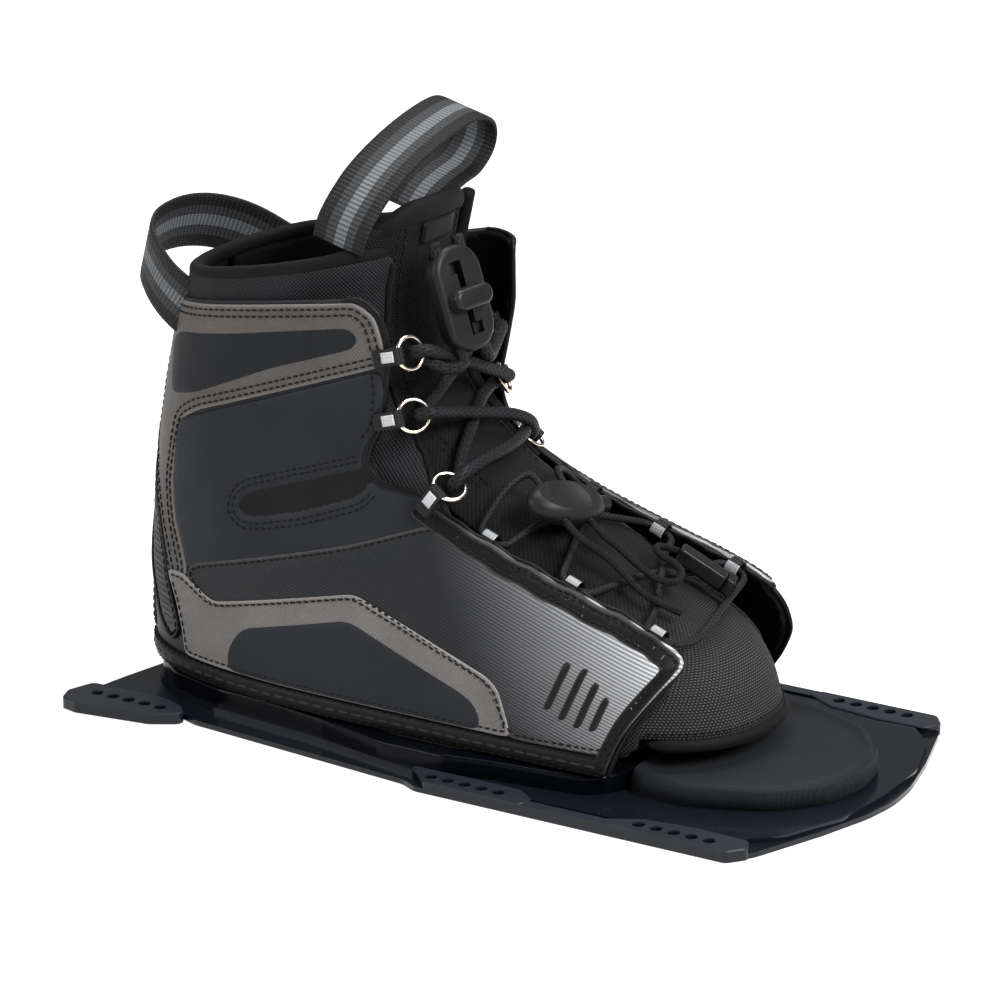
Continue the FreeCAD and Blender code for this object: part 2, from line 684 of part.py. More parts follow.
def heel_pull_loop():
    """A strap loop behind the cuff; its width stands nearly upright."""
    plan = [(-143, -38.2), (-152, -37), (-162, -33), (-171, -25.5), (-181, -6), (-179, 16),
            (-167, 30.5), (-157, 35.5), (-149, 37.6), (-143, 38.2)]
    strip = strap_ring([V(x, y, HEEL_LOOP_Z) for x, y in plan], WEB_WIDTH, V(0, 0, 1))
    strip.rotate(V(-149, 0, HEEL_LOOP_Z), V(0, 1, 0), 14.0)
    return strip


def front_pull_loop():
    """A strap arch over the top of the tongue; its width runs along the boot."""
    arch = [(-38, 208), (-36, 217), (-24, 230), (-6, 240), (16, 247), (35, 249), (48, 243.5),
            (51, 233), (46.5, 223), (40.5, 215), (38, 208)]
    strip = strap_ring([V(FRONT_LOOP_X, y, z) for y, z in arch], WEB_WIDTH, V(1, 0, 0))
    strip.rotate(V(FRONT_LOOP_X + 13, 0, 205), V(0, 1, 0), 14.0)
    return strip


def main():
    os.makedirs("parts", exist_ok=True)
    save(base_plate(), "base_plate")
    save(frame_screws(), "frame_screws")
    save(sole_frame(), "sole_frame")
    save(sole_board(), "sole_board")
    save(toe_pad(), "toe_pad")
    save(insole(), "insole")
    inner = liner()
    save(inner, "liner")
    save(liner_collar(), "liner_collar")
    front = tongue()
    save(front, "tongue")
    save(toe_binding(), "toe_binding")
    save(tongue_label(), "tongue_label")
    upper = upper_wall(0, SHELL_THICK, FRAME_TOP)
    save(half(upper, -1), "upper_lateral")
    save(half(upper, 1), "upper_medial")
    skin = upper_wall(-PANEL_THICK, -LAYER_GAP, WELT_TOP + 0.3)
    for side, word in ((-1, "lateral"), (1, "medial")):
        for name in PANELS:
            save(side_panel(name, skin, side), "%s_%s" % (word, name))
        save(heel_strip(skin, side), "%s_heel_strip" % word)
        save(rings(side), "%s_rings" % word)
        save(ring_tabs(side, (upper, inner, skin, front)), "%s_ring_tabs" % word)
        save(lace_tabs(side, (upper, inner, skin, front)), "%s_lace_tabs" % word)
    save(heel_counter(skin), "heel_counter")
    welt = layer(-WELT_THICK, -LAYER_GAP, FRAME_TOP, WELT_TOP).common(box(-200, 79, -90, 90, 0, 40))
    save(welt, "welt")
    save(heel_pull_loop(), "heel_pull_loop")
    save(front_pull_loop(), "front_pull_loop")
    save(tube(vectors(UPPER_LACE), UPPER_LACE_R), "upper_lace")
    save(tube(vectors(LOWER_LACE), LOWER_LACE_R), "lower_lace")
    save(tube(vectors(TAIL_FRONT), LOWER_LACE_R), "lace_tail_front")
    save(tube(vectors(TAIL_REAR), LOWER_LACE_R), "lace_tail_rear")
    save(place(upper_lock_body(), UPPER_LOCK_AT, UPPER_LOCK_UP, UPPER_LOCK_ACROSS), "upper_lock_body")
    save(place(upper_lock_knob(), UPPER_LOCK_AT, UPPER_LOCK_UP, UPPER_LOCK_ACROSS), "upper_lock_knob")
    save(place(lower_lock_body(), LOWER_LOCK_AT, LOWER_LOCK_ALONG, LOWER_LOCK_UPHILL),
         "lower_lock_body")
    save(place(lower_lock_button(), LOWER_LOCK_AT, LOWER_LOCK_ALONG, LOWER_LOCK_UPHILL),
         "lower_lock_button")
    save(lace_handle(), "lace_handle")
    save(handle_cap(), "handle_cap")


main()
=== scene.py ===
import math

import bpy
import numpy as np
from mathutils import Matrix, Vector, geometry


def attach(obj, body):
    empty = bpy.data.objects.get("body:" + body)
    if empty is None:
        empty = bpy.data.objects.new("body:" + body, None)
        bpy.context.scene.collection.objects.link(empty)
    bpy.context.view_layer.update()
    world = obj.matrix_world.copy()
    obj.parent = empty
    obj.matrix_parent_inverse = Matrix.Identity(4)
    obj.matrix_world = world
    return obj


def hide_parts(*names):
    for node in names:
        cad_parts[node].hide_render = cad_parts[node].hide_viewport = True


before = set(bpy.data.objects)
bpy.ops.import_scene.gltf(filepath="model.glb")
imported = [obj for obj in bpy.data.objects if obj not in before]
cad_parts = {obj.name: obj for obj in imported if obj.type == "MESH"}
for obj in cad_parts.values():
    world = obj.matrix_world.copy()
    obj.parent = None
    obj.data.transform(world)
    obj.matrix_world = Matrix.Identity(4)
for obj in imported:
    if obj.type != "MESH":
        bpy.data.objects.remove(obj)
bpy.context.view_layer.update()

MM = 0.001
LATERAL, MEDIAL = -1, 1

# ------------------------------------------------------------------ driving dimensions (mm)
SHELL_THICK = 2.5
LINER_GAP = 0.4
LINER_THICK = 5.0
DECK_TOP = 4.2
FLOOR_DROP = 0.3
UPPER_LACE_R = 2.6
LOWER_LACE_R = 1.5
RING_R = 6.6
RING_WIRE_R = 0.9
WEB_WIDTH = 25.0
WEB_THICK = 1.8

# z, back x, front x of the upper, front x of the bootie, half width
LEVELS = np.array([
    (4, -165, 118, 118, 64), (20, -168, 118, 118, 64), (40, -170, 118, 113, 61),
    (50, -171, 116, 107, 59), (57, -171, 112, 101, 57), (65, -170.5, 103, 84, 55),
    (72, -170, 90, 71, 53.5), (80, -169.5, 60, 58, 52), (92, -168, 20, 32, 49.5),
    (108, -165.5, -17, 3, 48), (122, -162.5, -28, -17, 47.5), (134, -160, -31, -31, 48),
    (150, -156.5, -28, -41, 49), (168, -152, -25, -44, 50), (190, -148, -26, -43, 51.5),
    (228, -142, -26, -36, 53)], float)
HEEL_BLUNTNESS = 2.9
UPPER_BLUNTNESS = 6.0
TOE_BLUNTNESS = 2.6
TONGUE_BLUNTNESS = 2.3
THROAT = {LATERAL: 42.0, MEDIAL: 39.0}

COLLAR_TOP = [(-190, 182), (-144, 185), (-110, 191), (-74, 199), (-55, 204), (-20, 208)]
COLLAR_SIZE = (3.0, 3.1)
TOE_EDGE = {LATERAL: [(79, 13), (84, 27), (88, 35), (101, 54), (104, 61)],
            MEDIAL: [(79, 13), (83, 22), (90, 31), (97, 44), (95, 56), (87, 65)]}


# ------------------------------------------------------------------ camera, lights and floor
CAMERA_EYE = (1155.5, -1859.5, 833.1)
CAMERA_AIM = (-153.66, 228.63, 5.0)
CAMERA_LENS = 203.5
LIGHT_AIM = (0.0, 0.0, 0.08)
# place in metres, size in metres, power in watts
LIGHTS = {
    "key_light": ((1.3, -0.3, 1.2), (0.8, 0.8), 50.0),
    "fill_light": ((-1.2, -1.4, 0.9), (1.2, 1.0), 22.0),
    "top_light": ((-0.1, 0.4, 1.7), (1.5, 0.8), 36.0),
}
FLOOR_REACH = 12.0


def camera():
    """The camera, looking down at the boot from its lateral front."""
    data = bpy.data.cameras.new("camera")
    data.lens = CAMERA_LENS
    data.sensor_width = 36.0
    data.clip_end = 30.0
    cam = bpy.data.objects.new("camera", data)
    bpy.context.scene.collection.objects.link(cam)
    eye = Vector(CAMERA_EYE) * MM
    aim = Vector(CAMERA_AIM) * MM
    cam.location = eye
    cam.rotation_euler = (aim - eye).to_track_quat("-Z", "Y").to_euler()
    bpy.context.scene.camera = cam


def area_light(name, place, size, power):
    """A rectangular lamp turned to the boot."""
    data = bpy.data.lights.new(name, "AREA")
    data.shape = "RECTANGLE"
    data.size, data.size_y = size
    data.energy = power
    lamp = bpy.data.objects.new(name, data)
    lamp.location = place
    direction = Vector(LIGHT_AIM) - Vector(place)
    lamp.rotation_euler = direction.to_track_quat("-Z", "Y").to_euler()
    bpy.context.scene.collection.objects.link(lamp)


def floor():
    """A plain white floor, just below the plate."""
    reach, level = FLOOR_REACH, -FLOOR_DROP * MM
    mesh = bpy.data.meshes.new("floor")
    corners = [(-reach, -reach, level), (reach, -reach, level), (reach, reach, level),
               (-reach, reach, level)]
    mesh.from_pydata(corners, [], [(0, 1, 2, 3)])
    made = bpy.data.objects.new("floor", mesh)
    bpy.context.scene.collection.objects.link(made)
    paint = bpy.data.materials.new("floor_paint")
    paint.use_nodes = True
    put = paint.node_tree.nodes["Principled BSDF"].inputs
    put["Base Color"].default_value = (0.35, 0.35, 0.35, 1)
    put["Roughness"].default_value = 0.6
    put["Specular IOR Level"].default_value = 0.1
    put["Emission Color"].default_value = (1.0, 1.0, 1.0, 1)
    put["Emission Strength"].default_value = 0.8
    mesh.materials.append(paint)


def studio():
    """Soft light from all round, three area lights and the floor."""
    world = bpy.data.worlds.new("studio")
    world.use_nodes = True
    background = world.node_tree.nodes["Background"]
    background.inputs["Color"].default_value = (1.0, 1.0, 1.0, 1.0)
    background.inputs["Strength"].default_value = 0.22
    bpy.context.scene.world = world
    bpy.context.scene.view_settings.view_transform = "Standard"
    for name, (place, size, power) in LIGHTS.items():
        area_light(name, place, size, power)
    floor()


# ------------------------------------------------------------------ procedural materials
class Paint:
    """Builds one node material step by step; coordinates are in millimetres."""

    def __init__(self, name, rough=0.5, coat=0.0, coat_rough=0.2, sheen=0.0, metal=0.0, spec=0.5):
        self.material = bpy.data.materials.new(name)
        self.material.use_nodes = True
        self.tree = self.material.node_tree
        self.shader = self.tree.nodes["Principled BSDF"]
        put = self.shader.inputs
        put["Roughness"].default_value = rough
        put["Metallic"].default_value = metal
        put["Coat Weight"].default_value = coat
        put["Coat Roughness"].default_value = coat_rough
        put["Sheen Weight"].default_value = sheen
        put["Specular IOR Level"].default_value = spec

    def node(self, kind, **values):
        made = self.tree.nodes.new(kind)
        for key, value in values.items():
            setattr(made, key, value)
        return made

    def link(self, a, b):
        self.tree.links.new(a, b)

    def number(self, operation, a, b=None, c=None):
        made = self.node("ShaderNodeMath", operation=operation)
        for slot, value in zip(made.inputs, (a, b, c)):
            if value is None:
                continue
            if isinstance(value, (int, float)):
                slot.default_value = value
            else:
                self.link(value, slot)
        return made.outputs[0]

    def cloth(self):
        """Cloth coordinates u, v in mm from the piece's own map."""
        source = self.node("ShaderNodeUVMap", uv_map="cloth")
        parts = self.node("ShaderNodeSeparateXYZ")
        self.link(source.outputs[0], parts.inputs[0])
        return parts.outputs[0], parts.outputs[1]

    def space(self):
        """Object coordinates in mm."""
        source = self.node("ShaderNodeTexCoord")
        scale = self.node("ShaderNodeVectorMath", operation="SCALE")
        scale.inputs["Scale"].default_value = 1000.0
        self.link(source.outputs["Object"], scale.inputs[0])
        return scale.outputs[0]

    def noise(self, size, detail=3.0, vector=None):
        made = self.node("ShaderNodeTexNoise")
        made.inputs["Scale"].default_value = 1.0 / size
        made.inputs["Detail"].default_value = detail
        self.link(vector or self.space(), made.inputs["Vector"])
        return made.outputs[0]

    def wave(self, value, pitch):
        """0 to 1 and back over one pitch."""
        turn = self.number("MULTIPLY", value, 2 * math.pi / pitch)
        return self.number("MULTIPLY_ADD", self.number("SINE", turn), 0.5, 0.5)

    def attribute(self, name):
        return self.node("ShaderNodeAttribute", attribute_name=name).outputs["Fac"]

    def ramp(self, value, stops):
        made = self.node("ShaderNodeValToRGB")
        ramp = made.color_ramp
        while len(ramp.elements) < len(stops):
            ramp.elements.new(0.5)
        for element, (place, colour) in zip(ramp.elements, stops):
            element.position = place
            element.color = (*colour, 1)
        self.link(value, made.inputs[0])
        return made.outputs[0]

    def mix(self, share, a, b):
        made = self.node("ShaderNodeMix", data_type="RGBA")
        for slot, value in ((0, share), (6, a), (7, b)):
            if isinstance(value, tuple):
                made.inputs[slot].default_value = (*value, 1)
            elif isinstance(value, (int, float)):
                made.inputs[slot].default_value = value
            else:
                self.link(value, made.inputs[slot])
        return made.outputs[2]

    def span(self, value, low, high):
        """Carry 0..1 to low..high."""
        return self.number("MULTIPLY_ADD", value, high - low, low)

    def finish(self, colour, height=None, depth=0.1, rough=None):
        self.link(colour, self.shader.inputs["Base Color"])
        if rough is not None:
            self.link(rough, self.shader.inputs["Roughness"])
        if height is not None:
            bump = self.node("ShaderNodeBump")
            bump.inputs["Distance"].default_value = depth * MM
            bump.inputs["Strength"].default_value = 1.0
            self.link(height, bump.inputs["Height"])
            self.link(bump.outputs[0], self.shader.inputs["Normal"])
        return self.material


def film(name, dark, light, edge, rough, hatch=0.0):
    """Coated synthetic: fine grain, optional diagonal hatch, and a lighter worn edge."""
    grain, pitch = 0.5, 1.7
    p = Paint(name, rough=rough, spec=0.1)
    cloud = p.noise(28.0, 2.0)
    fine = p.noise(grain, 4.0)
    colour = p.ramp(p.number("MULTIPLY_ADD", fine, 0.35, p.number("MULTIPLY", cloud, 0.65)),
                    [(0.3, dark), (0.7, light)])
    height = fine
    if hatch:
        u, v = p.cloth()
        first = p.wave(p.number("ADD", u, v), pitch)
        second = p.wave(p.number("SUBTRACT", u, v), pitch)
        lines = p.number("MAXIMUM", p.number("POWER", first, 8.0), p.number("POWER", second, 8.0))
        broken = p.number("MULTIPLY", lines, p.noise(3.0, 2.0))
        colour = p.mix(p.number("MULTIPLY", broken, hatch), colour, edge)
        height = p.number("MULTIPLY_ADD", lines, -1.2, p.number("MULTIPLY", fine, 0.8))
    wear = p.number("MULTIPLY", p.attribute("edge"), 0.75)
    colour = p.mix(wear, colour, edge)
    roughness = p.span(p.noise(9.0, 3.0), rough - 0.08, rough + 0.1)
    return p.finish(colour, height, 0.09, roughness)


def carbon(name):
    """Forefoot film: fine ribs over a dark ground, with a painted highlight that turns the ribs brighter
    towards the toe.
    """
    p = Paint(name, rough=0.36, spec=0.14)
    u, v = p.cloth()
    parts = p.node("ShaderNodeSeparateXYZ")
    p.link(p.space(), parts.inputs[0])
    along = p.number("MULTIPLY_ADD", u, 0.3, v)
    rib = p.wave(along, 1.35)
    cross = p.wave(p.number("MULTIPLY_ADD", v, -0.3, u), 1.0)
    # painted highlight: a ramp along the boot, strongest at the toe, where the key light falls on the
    # forefoot
    along_boot = p.number("MULTIPLY_ADD", parts.outputs[2], 0.55, parts.outputs[0])
    painted_highlight_ramp = p.number("MULTIPLY_ADD", along_boot, 1 / 100.0, -0.34)
    share = p.node("ShaderNodeClamp")
    p.link(painted_highlight_ramp, share.inputs[0])
    ridge = p.number("MULTIPLY", p.number("POWER", rib, 1.5), p.span(cross, 0.55, 1.0))
    # painted highlight on the ribs, growing towards the toe; the ramp's pale top colour is the highlight
    painted_toe_highlight = p.number("MULTIPLY", p.span(ridge, 0.3, 1.0), p.number("POWER", share.outputs[0], 1.7))
    colour = p.ramp(painted_toe_highlight, [(0.0, (0.0075, 0.0082, 0.0098)), (1.0, (0.62, 0.63, 0.65))])
    colour = p.mix(p.number("MULTIPLY", p.attribute("edge"), 0.6), colour, (0.13, 0.125, 0.12))
    height = p.number("MULTIPLY_ADD", rib, 0.8, p.number("MULTIPLY", cross, 0.3))
    return p.finish(colour, height, 0.16, p.span(p.noise(14.0, 3.0), 0.3, 0.46))


def weave(name, dark, light, pitch_u, pitch_v, depth=0.2, rough=0.75, sheen=0.02, twill=0.0):
    """Cloth: a basket of raised threads with slight colour variation."""
    p = Paint(name, rough=rough, sheen=sheen, spec=0.08)
    u, v = p.cloth()
    if twill:
        u = p.number("MULTIPLY_ADD", v, twill, u)
    a = p.wave(u, pitch_u)
    b = p.wave(v, pitch_v)
    over = p.number("MULTIPLY", p.number("SUBTRACT", a, 0.5), p.number("SUBTRACT", b, 0.5))
    threads = p.number("MULTIPLY_ADD", over, 2.0, 0.5)
    dirt = p.noise(16.0, 3.0)
    shade = p.number("MULTIPLY_ADD", threads, 0.75, p.number("MULTIPLY", dirt, 0.4))
    colour = p.ramp(shade, [(0.25, dark), (0.9, light)])
    height = p.number("MULTIPLY_ADD", p.noise(0.4, 2.0), 0.2, threads)
    return p.finish(colour, height, depth, p.span(dirt, rough - 0.08, rough + 0.08))


def rib_knit(name, dark, light, pitch=1.15):
    """Tongue cloth: rows of short raised ovals, brick-laid."""
    p = Paint(name, rough=0.7, sheen=0.01, spec=0.08)
    u, v = p.cloth()
    height_above = p.node("ShaderNodeSeparateXYZ")
    p.link(p.space(), height_above.inputs[0])
    # the knit turns lighter towards the bottom of the tongue, over the toe: fully below 48 mm, fading out
    # by 78 mm
    low = p.node("ShaderNodeClamp")
    p.link(p.number("MULTIPLY_ADD", height_above.outputs[2], -1 / 30.0, 2.6), low.inputs[0])
    row = p.number("FLOOR", p.number("DIVIDE", v, pitch))
    shift = p.number("MULTIPLY", p.number("MODULO", row, 2.0), pitch * 0.75)
    a = p.wave(p.number("ADD", u, shift), pitch * 1.5)
    b = p.wave(v, pitch)
    cell = p.number("MULTIPLY", p.number("POWER", a, 0.7), p.number("POWER", b, 0.7))
    cloud = p.noise(22.0, 3.0)
    colour = p.ramp(p.number("MULTIPLY_ADD", cell, 0.75, p.number("MULTIPLY", cloud, 0.3)),
                    [(0.15, dark), (0.95, light)])
    worn = p.ramp(cell, [(0.1, (0.006, 0.006, 0.0065)), (0.95, (0.062, 0.062, 0.064))])
    colour = p.mix(low.outputs[0], colour, worn)
    return p.finish(colour, cell, 0.25, p.span(cloud, 0.6, 0.8))


def neoprene(name):
    """Black neoprene with a fine matt grain."""
    p = Paint(name, rough=0.72, sheen=0.01, spec=0.07)
    fine = p.noise(0.35, 3.0)
    cloud = p.noise(30.0, 2.0)
    colour = p.ramp(p.number("MULTIPLY_ADD", fine, 0.3, p.number("MULTIPLY", cloud, 0.7)),
                    [(0.3, (0.0035, 0.0035, 0.004)), (0.75, (0.0075, 0.0075, 0.0085))])
    return p.finish(colour, fine, 0.06, p.span(cloud, 0.62, 0.8))


def webbing(name, stripes):
    """Woven strap: transverse ribs, lengthwise warp lines and two-tone stripes across v."""
    p = Paint(name, rough=0.6, spec=0.22)
    u, v = p.cloth()
    warp = p.wave(v, 1.15)
    weft = p.wave(p.number("ADD", u, p.number("MULTIPLY", warp, 0.35)), 1.9)
    cell = p.number("MULTIPLY", p.number("POWER", weft, 0.6), p.span(warp, 0.55, 1.0))
    tone = p.ramp(p.number("DIVIDE", v, WEB_WIDTH), stripes)
    tone.node.color_ramp.interpolation = "CONSTANT"
    dark = p.mix(1.0, (0, 0, 0), tone)
    shade = p.node("ShaderNodeMix", data_type="RGBA", blend_type="MULTIPLY")
    shade.inputs[0].default_value = 1.0
    p.link(dark, shade.inputs[6])
    grey = p.ramp(cell, [(0.0, (0.25, 0.25, 0.25)), (0.8, (1.0, 1.0, 1.0))])
    p.link(grey, shade.inputs[7])
    return p.finish(shade.outputs[2], cell, 0.3, p.span(p.noise(6.0, 3.0), 0.5, 0.7))


def plastic(name, dark, light, rough, coat=0.0, spec=0.16):
    """Moulded plastic: slight clouds of colour, fine scuffs and paler edges."""
    grain, depth = 0.25, 0.03
    p = Paint(name, rough=rough, coat=coat, coat_rough=0.08, spec=spec)
    cloud = p.noise(20.0, 3.0)
    fine = p.noise(grain, 4.0)
    scuff = p.noise(2.5, 6.0)
    colour = p.ramp(cloud, [(0.3, dark), (0.7, light)])
    colour = p.mix(p.number("MULTIPLY", p.attribute("edge"), 0.5), colour,
                   tuple(min(1.0, 3 * c + 0.03) for c in light))
    rough_out = p.span(scuff, max(0.02, rough - 0.08), rough + 0.1)
    return p.finish(colour, fine, depth, rough_out)


def rubber_ribs(name):
    """Rubber of the heel strips; the ribs themselves are geometry."""
    p = Paint(name, rough=0.5, spec=0.4)
    fine = p.noise(0.6, 4.0)
    colour = p.ramp(p.noise(12.0, 3.0), [(0.3, (0.007, 0.0075, 0.0088)), (0.7, (0.015, 0.0162, 0.018))])
    return p.finish(colour, fine, 0.05, p.span(fine, 0.4, 0.6))


def metal(name, colour_a, colour_b, rough):
    """Bare metal with a slight change of colour and roughness."""
    p = Paint(name, rough=rough, metal=1.0)
    colour = p.ramp(p.noise(5.0, 3.0), [(0.35, colour_a), (0.65, colour_b)])
    return p.finish(colour, p.noise(0.5, 3.0), 0.01, p.span(p.noise(3.0, 4.0), rough - 0.06, rough + 0.1))


def lace_cloth(name, around, along):
    """Braided sheath: two families of slanted strands; u runs along, v round the cord."""
    p = Paint(name, rough=0.62, spec=0.1)
    u, v = p.cloth()
    turn = p.number("MULTIPLY", v, around * 2 * math.pi)
    run = p.number("MULTIPLY", u, 2 * math.pi / along)
    a = p.number("SINE", p.number("ADD", turn, run))
    b = p.number("SINE", p.number("SUBTRACT", turn, run))
    strand = p.number("MULTIPLY_ADD", p.number("MAXIMUM", a, b), 0.5, 0.5)
    colour = p.ramp(strand, [(0.1, (0.0025, 0.0025, 0.003)), (0.95, (0.013, 0.013, 0.0145))])
    return p.finish(colour, strand, 0.1, p.span(strand, 0.75, 0.5))


def tail_cloth():
    """The cord's braid in space coordinates, for the free ends."""
    p = Paint("tail_cloth", rough=0.62, spec=0.1)
    wave = p.node("ShaderNodeTexWave", wave_type="BANDS", bands_direction="DIAGONAL")
    wave.inputs["Scale"].default_value = 0.55
    wave.inputs["Distortion"].default_value = 1.5
    p.link(p.space(), wave.inputs["Vector"])
    colour = p.ramp(wave.outputs[1], [(0.1, (0.0025, 0.0025, 0.003)), (0.95, (0.013, 0.013, 0.0145))])
    return p.finish(colour, wave.outputs[1], 0.35, p.span(wave.outputs[1], 0.75, 0.5))


def reflective(name, dark, light):
    """Light patch with a fine square grid."""
    p = Paint(name, rough=0.42, spec=0.5)
    u, v = p.cloth()
    grid = p.number("MAXIMUM", p.wave(u, 1.3), p.wave(v, 1.3))
    fine = p.noise(0.8, 4.0)
    colour = p.ramp(p.number("MULTIPLY_ADD", fine, 0.7, p.number("MULTIPLY", grid, 0.3)),
                    [(0.3, dark), (0.8, light)])
    return p.finish(colour, grid, 0.08, p.span(fine, 0.35, 0.55))


def film_materials():
    taupe = (0.050, 0.0455, 0.0425), (0.078, 0.071, 0.0665), (0.23, 0.21, 0.195)
    # painted light: a lighter copy of the cuff's taupe, for the lower panel, which shows brighter under
    # the lamps
    lower_band_painted_light = (0.082, 0.077, 0.075), (0.125, 0.117, 0.114), (0.32, 0.30, 0.285)
    m = {}
    m["taupe"] = film("taupe_film", *taupe, rough=0.44, hatch=0.5)
    m["lower_band_painted_light"] = film("lower_band_painted_light_film", *lower_band_painted_light, rough=0.44, hatch=0.4)
    m["base"] = film("base_film", (0.006, 0.0066, 0.008), (0.010, 0.011, 0.0135), (0.03, 0.03, 0.033),
                     rough=0.42)
    m["slot"] = film("slot_film", (0.003, 0.003, 0.0035), (0.0055, 0.0055, 0.0065), (0.01, 0.01, 0.01),
                     rough=0.5)
    m["inset"] = film("inset_film", (0.0065, 0.007, 0.0085), (0.010, 0.011, 0.013),
                      (0.016, 0.017, 0.019), rough=0.48)
    m["slate"] = film("slate_film", (0.0085, 0.0095, 0.0125), (0.0145, 0.0163, 0.0205),
                      (0.02, 0.021, 0.024), rough=0.45)
    m["black_film"] = film("black_film", (0.0035, 0.0035, 0.004), (0.007, 0.007, 0.008),
                           (0.05, 0.05, 0.05), rough=0.34)
    m["inner_film"] = film("inner_film", (0.0035, 0.0035, 0.004), (0.006, 0.006, 0.0065),
                           (0.03, 0.03, 0.03), rough=0.3)
    m["welt"] = film("welt_film", (0.002, 0.002, 0.0025), (0.0045, 0.0045, 0.005), (0.01, 0.01, 0.01),
                     rough=0.42)
    m["carbon"] = carbon("carbon_film")
    return m


def cloth_materials():
    m = {}
    m["ballistic"] = weave("ballistic_cloth", (0.001, 0.001, 0.0015), (0.024, 0.0245, 0.027), 1.7, 1.7,
                           depth=0.35, rough=0.6)
    m["knit"] = rib_knit("tongue_knit", (0.002, 0.002, 0.0025), (0.0135, 0.0135, 0.015))
    m["neoprene"] = neoprene("neoprene")
    m["thread"] = weave("sewing_thread", (0.002, 0.002, 0.002), (0.008, 0.008, 0.008), 0.5, 0.5,
                        depth=0.05, rough=0.5)
    m["heavy_thread"] = weave("heavy_thread", (0.008, 0.008, 0.0085), (0.03, 0.03, 0.031), 0.7, 0.7,
                              depth=0.1, rough=0.5)
    dark, grey, light = (0.006, 0.006, 0.0065), (0.034, 0.036, 0.039), (0.135, 0.142, 0.15)
    m["web"] = webbing("loop_webbing", [(0.0, dark), (0.24, grey), (0.42, light), (0.62, grey),
                                        (0.78, dark)])
    m["tab"] = webbing("tab_webbing", [(0.0, dark), (0.5, dark)])
    m["foam"] = weave("pad_foam", (0.006, 0.0066, 0.008), (0.0125, 0.0138, 0.0165), 0.8, 0.8, depth=0.08,
                      rough=0.55, twill=0.6)
    m["tail"] = tail_cloth()
    m["lace"] = lace_cloth("upper_lace_cloth", 8, 4.0)
    m["cord"] = lace_cloth("cord_cloth", 4, 2.6)
    m["patch"] = reflective("reflective_patch", (0.25, 0.255, 0.265), (0.47, 0.48, 0.5))
    m["dim_patch"] = reflective("dim_patch", (0.12, 0.125, 0.13), (0.24, 0.25, 0.26))
    return m


def hard_materials():
    m = {}
    m["ribs"] = rubber_ribs("heel_rubber")
    m["ring"] = metal("ring_metal", (0.72, 0.55, 0.42), (0.8, 0.74, 0.68), 0.16)
    m["steel"] = metal("screw_steel", (0.5, 0.5, 0.52), (0.62, 0.62, 0.64), 0.3)
    m["lock"] = plastic("lock_plastic", (0.0055, 0.0058, 0.006), (0.0095, 0.0098, 0.0102), 0.42)
    m["knob"] = plastic("knob_plastic", (0.008, 0.0082, 0.0085), (0.0125, 0.0128, 0.013), 0.28)
    m["handle"] = plastic("handle_plastic", (0.0045, 0.0045, 0.005), (0.0075, 0.0075, 0.008), 0.26)
    m["board"] = plastic("board_plastic", (0.03, 0.03, 0.03), (0.04, 0.04, 0.04), 0.7)
    m["frame"] = plastic("frame_gloss", (0.001, 0.0013, 0.0022), (0.0018, 0.0022, 0.0035), 0.13,
                         coat=0.03, spec=0.06)
    m["plate"] = plate_paint("plate_gloss")
    return m


def plate_paint(name):
    """Moulded plate: glossy navy-black deck and satin ears, told apart by height."""
    p = Paint(name, rough=0.12, coat=0.08, coat_rough=0.06, spec=0.22)
    parts = p.node("ShaderNodeSeparateXYZ")
    p.link(p.space(), parts.inputs[0])
    ear = p.number("GREATER_THAN", parts.outputs[2], 4.35)
    cloud = p.noise(60.0, 2.0)
    deck = p.ramp(cloud, [(0.3, (0.003, 0.004, 0.0062)), (0.7, (0.005, 0.0062, 0.0092))])
    satin = p.ramp(cloud, [(0.3, (0.0095, 0.0113, 0.015)), (0.7, (0.014, 0.0162, 0.0205))])
    colour = p.mix(ear, deck, satin)
    rough = p.number("MULTIPLY_ADD", ear, 0.26, p.span(p.noise(6.0, 5.0), 0.08, 0.2))
    return p.finish(colour, p.noise(1.0, 3.0), 0.02, rough)


# ------------------------------------------------------------------ the boot's wall as a map
def smoothed_levels():
    """LEVELS every millimetre, with the corners of the tables smoothed away."""
    z = np.arange(-10.0, 245.0)
    kernel = np.exp(-0.5 * (np.arange(-9, 10) / 3.5) ** 2)
    kernel /= kernel.sum()
    columns = [z]
    for k in range(1, 5):
        raw = np.interp(z, LEVELS[:, 0], LEVELS[:, k])
        columns.append(np.convolve(np.pad(raw, 9, mode="edge"), kernel, mode="valid"))
    return np.array(columns)


SMOOTH = smoothed_levels()


def wall_point(t, z, inset=0.0, bootie=False):
    """A point of the upper's or the bootie's level curve; t is 0 at the toe and pi at the heel."""
    t, z = np.broadcast_arrays(np.asarray(t, float), np.asarray(z, float))
    back, upper_front, bootie_front, half_width = [np.interp(z, SMOOTH[0], SMOOTH[k])
                                                   for k in range(1, 5)]
    front, bluntness = upper_front, np.full(z.shape, UPPER_BLUNTNESS)
    if bootie:
        back = back + SHELL_THICK + LINER_GAP
        half_width = half_width - SHELL_THICK - LINER_GAP
        share = np.clip((z - 50.0) / 40.0, 0, 1)
        front, bluntness = bootie_front, TOE_BLUNTNESS + (TONGUE_BLUNTNESS - TOE_BLUNTNESS) * share
    c, s = np.cos(t), np.sin(t)
    n = np.where(c > 0, bluntness, HEEL_BLUNTNESS)
    r = (np.abs(c) ** n + np.abs(s) ** n) ** (-1 / n)
    half_length = (front - back) / 2 - inset
    return np.stack([(front + back) / 2 + half_length * r * c, (half_width - inset) * r * s, z], -1)


